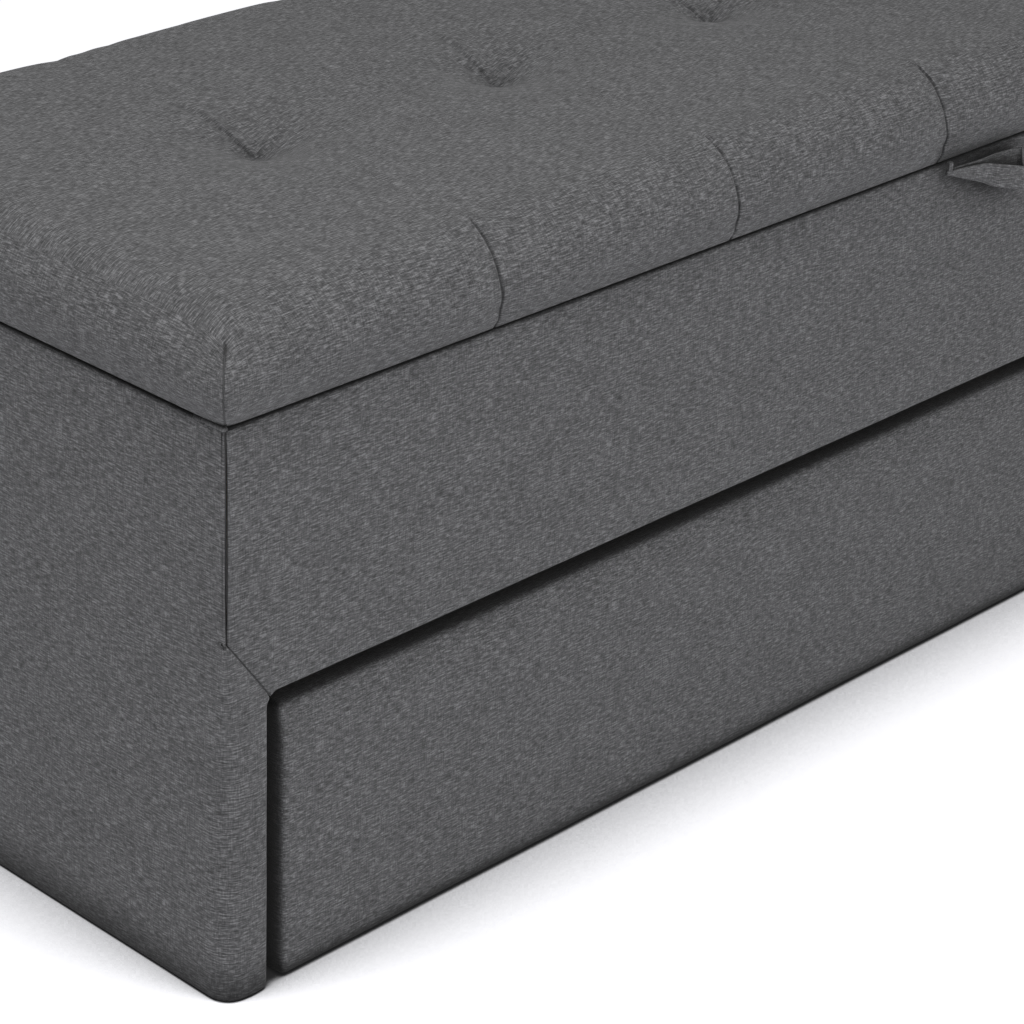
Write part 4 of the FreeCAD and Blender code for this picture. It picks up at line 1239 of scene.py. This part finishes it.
# ---- the lid's underside ----
def lid_lining():
    """Black dust cloth stretched over the board's underside and stapled."""
    low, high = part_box("lid_lining")
    edge = 14 * MM
    hinge_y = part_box("hinge_leaf_upper_left")[0].y - 3 * MM
    columns = steps(low.x + edge, high.x - edge, 12 * MM)
    rows = steps(low.y + edge, hinge_y, 12 * MM)
    z = low.z - 0.3 * MM
    x, y = np.meshgrid(columns, rows)
    points = np.stack([x, y, np.full_like(x, z)], -1)
    sag = ripple(points.reshape(-1, 3), 0.12, 51).reshape(x.shape)
    inside = np.minimum.reduce([x - columns[0], columns[-1] - x, y - rows[0], rows[-1] - y])
    points[..., 2] += 0.35 * MM * sag * smooth_step(inside / (50 * MM))
    sheet = Net().grid(points, np.stack([x, y], -1)).build("lid_lining_cloth", LINING)
    if sheet.data.polygons[0].normal.z > 0:
        sheet.data.flip_normals()
    dress(sheet, "lid", ["lid_lining"])
    staples = []
    wire = 0.5 * MM
    spots = [(px, py, 0) for px in steps(columns[0] + 30 * MM, columns[-1] - 30 * MM, 70 * MM)
             for py in (rows[0] + 6 * MM, rows[-1] - 6 * MM)]
    spots += [(px, py, 1) for py in steps(rows[0] + 40 * MM, rows[-1] - 40 * MM, 70 * MM)
              for px in (columns[0] + 6 * MM, columns[-1] - 6 * MM)]
    for px, py, upright in spots:
        ways = Vector((0, 1, 0)) if upright else Vector((1, 0, 0))
        bottom, rise = Vector((px, py, z - 0.35 * MM)), Vector((0, 0, 1.2 * MM))
        path = [bottom - ways * 5 * MM + rise, bottom - ways * 4.6 * MM, bottom - ways * 2 * MM,
                bottom + ways * 2 * MM, bottom + ways * 4.6 * MM, bottom + ways * 5 * MM + rise]
        staples.append(tube(path, np.full(6, wire), "staple", STEEL, sides=6))
    staples = joined(staples, "lining_staples")
    dress(staples, "lid")


def screws():
    """Cross-recessed screw heads in the hinge leaves."""
    for leaf, body, facing in (("lower", "box", 1), ("upper", "lid", -1)):
        heads = []
        for side in ("left", "middle", "right"):
            low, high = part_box(f"hinge_leaf_{leaf}_{side}")
            surface = BOARD_TOP + 1.5 * MM if facing > 0 else LID_BOARD_LOW.z - 1.5 * MM
            for part in (0.17, 0.5, 0.83):
                x = low.x + (high.x - low.x) * part
                heads.append(screw_head(Vector((x, low.y + 8 * MM, surface)), facing))
        heads = joined(heads, f"hinge_screws_{leaf}")
        dress(heads, body)


def screw_head(place, facing):
    """One low domed screw head with its cross recess."""
    net = Net()
    rings = np.array([0.05, 0.5, 0.9, 1.5, 2.0, 2.6, 3.1, 3.4, 3.4]) * MM
    turns = np.linspace(0, 2 * math.pi, 49)
    points = np.empty((len(rings), len(turns), 3))
    for row, r in enumerate(rings):
        x, y = r * np.cos(turns), r * np.sin(turns)
        dome = 0.7 * MM * (1 - (r / (3.6 * MM)) ** 2) if row < len(rings) - 1 else -0.2 * MM
        slot = (np.minimum(np.abs(x), np.abs(y)) < 0.45 * MM) & (r < 2.2 * MM)
        points[row] = np.stack([place.x + x, place.y + y,
                                place.z + facing * (dome - 0.55 * MM * slot)], -1)
    return net.grid(points, points[..., :2]).build("head", STEEL, merge=0.01 * MM)


def paint_frame_parts():
    """Give every CAD part that stays in sight its full material."""
    looks = {"plywood": PLYWOOD, "pine": PINE, "steel": STEEL, "wheel_plastic": PLASTIC,
             "lining": LINING, "upholstery": FABRIC, "mattress": TICKING}
    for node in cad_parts.values():
        for slot in node.material_slots:
            for word, material in looks.items():
                if slot.material and slot.material.name.startswith(word):
                    slot.material = material


lid_threads(bpy.data.objects["lid_cushion"])
box_threads()
for side in ("left", "right"):
    pull_tab(side, f"pull_tab_strap_{side}")
    tab_root(side, f"pull_tab_root_{side}")
mattress()
lid_lining()
screws()
paint_frame_parts()


# ---- floor, light and camera ----
FLOOR_HALF = 14.0
SKY_STRENGTH = 0.285
LIGHTS = (("overhead", (-1.3, -0.7, 2.6), (-0.9, -0.1, 0.3), 2.2, 60),      # place, target,
          ("front_left", (-2.2, -3.1, 2.6), (-1.0, 0, 0.35), 1.8, 46))     # size, watts
CAMERA_TURN = (46.835, 26.301, 2.238)              # yaw, pitch and roll in degrees
CAMERA_PLACE = Vector((-2.9068, -3.2953, 3.0487))  # from the near bottom corner, in lid heights
CAMERA_LENS = 118.7


def studio():
    """A white floor, and soft light from above and the front."""
    size = FLOOR_HALF
    mesh = bpy.data.meshes.new("floor")
    mesh.from_pydata([(-size, -size, 0), (size, -size, 0), (size, size, 0), (-size, size, 0)], [],
                     [(0, 1, 2, 3)])
    mesh.materials.append(studio_floor("studio_floor"))
    add_object("floor", mesh)
    world = bpy.data.worlds.new("studio")
    world.use_nodes = True
    world.node_tree.nodes["Background"].inputs[0].default_value = (1, 1, 1, 1)
    world.node_tree.nodes["Background"].inputs[1].default_value = SKY_STRENGTH
    bpy.context.scene.world = world
    for name, place, target, width, power in LIGHTS:
        light = bpy.data.lights.new(name, "AREA")
        light.size = width
        light.energy = power
        lamp = add_object(name, light)
        lamp.location = place
        lamp.rotation_euler = (Vector(target) - Vector(place)).to_track_quat("-Z", "Y").to_euler()
    bpy.context.scene.view_settings.view_transform = "Standard"


def camera():
    """The camera, placed from the bench's near bottom corner."""
    unit = LID_LOW.z + 0.25 * MM
    yaw, pitch, roll = (math.radians(angle) for angle in CAMERA_TURN)
    forward = Vector((math.sin(yaw) * math.cos(pitch), math.cos(yaw) * math.cos(pitch),
                      -math.sin(pitch)))
    right = Vector((math.cos(yaw), -math.sin(yaw), 0))
    up = right.cross(forward)
    across = right * math.cos(roll) + up * math.sin(roll)
    above = up * math.cos(roll) - right * math.sin(roll)
    lens = bpy.data.cameras.new("camera")
    lens.sensor_width = 36
    lens.lens = CAMERA_LENS
    thing = add_object("camera", lens)
    turn = Matrix((across, above, -forward)).transposed().to_4x4()
    place = Vector((-END_X, FACE_Y, 0)) + CAMERA_PLACE * unit
    thing.matrix_world = Matrix.Translation(place) @ turn
    bpy.context.scene.camera = thing


studio()
camera()
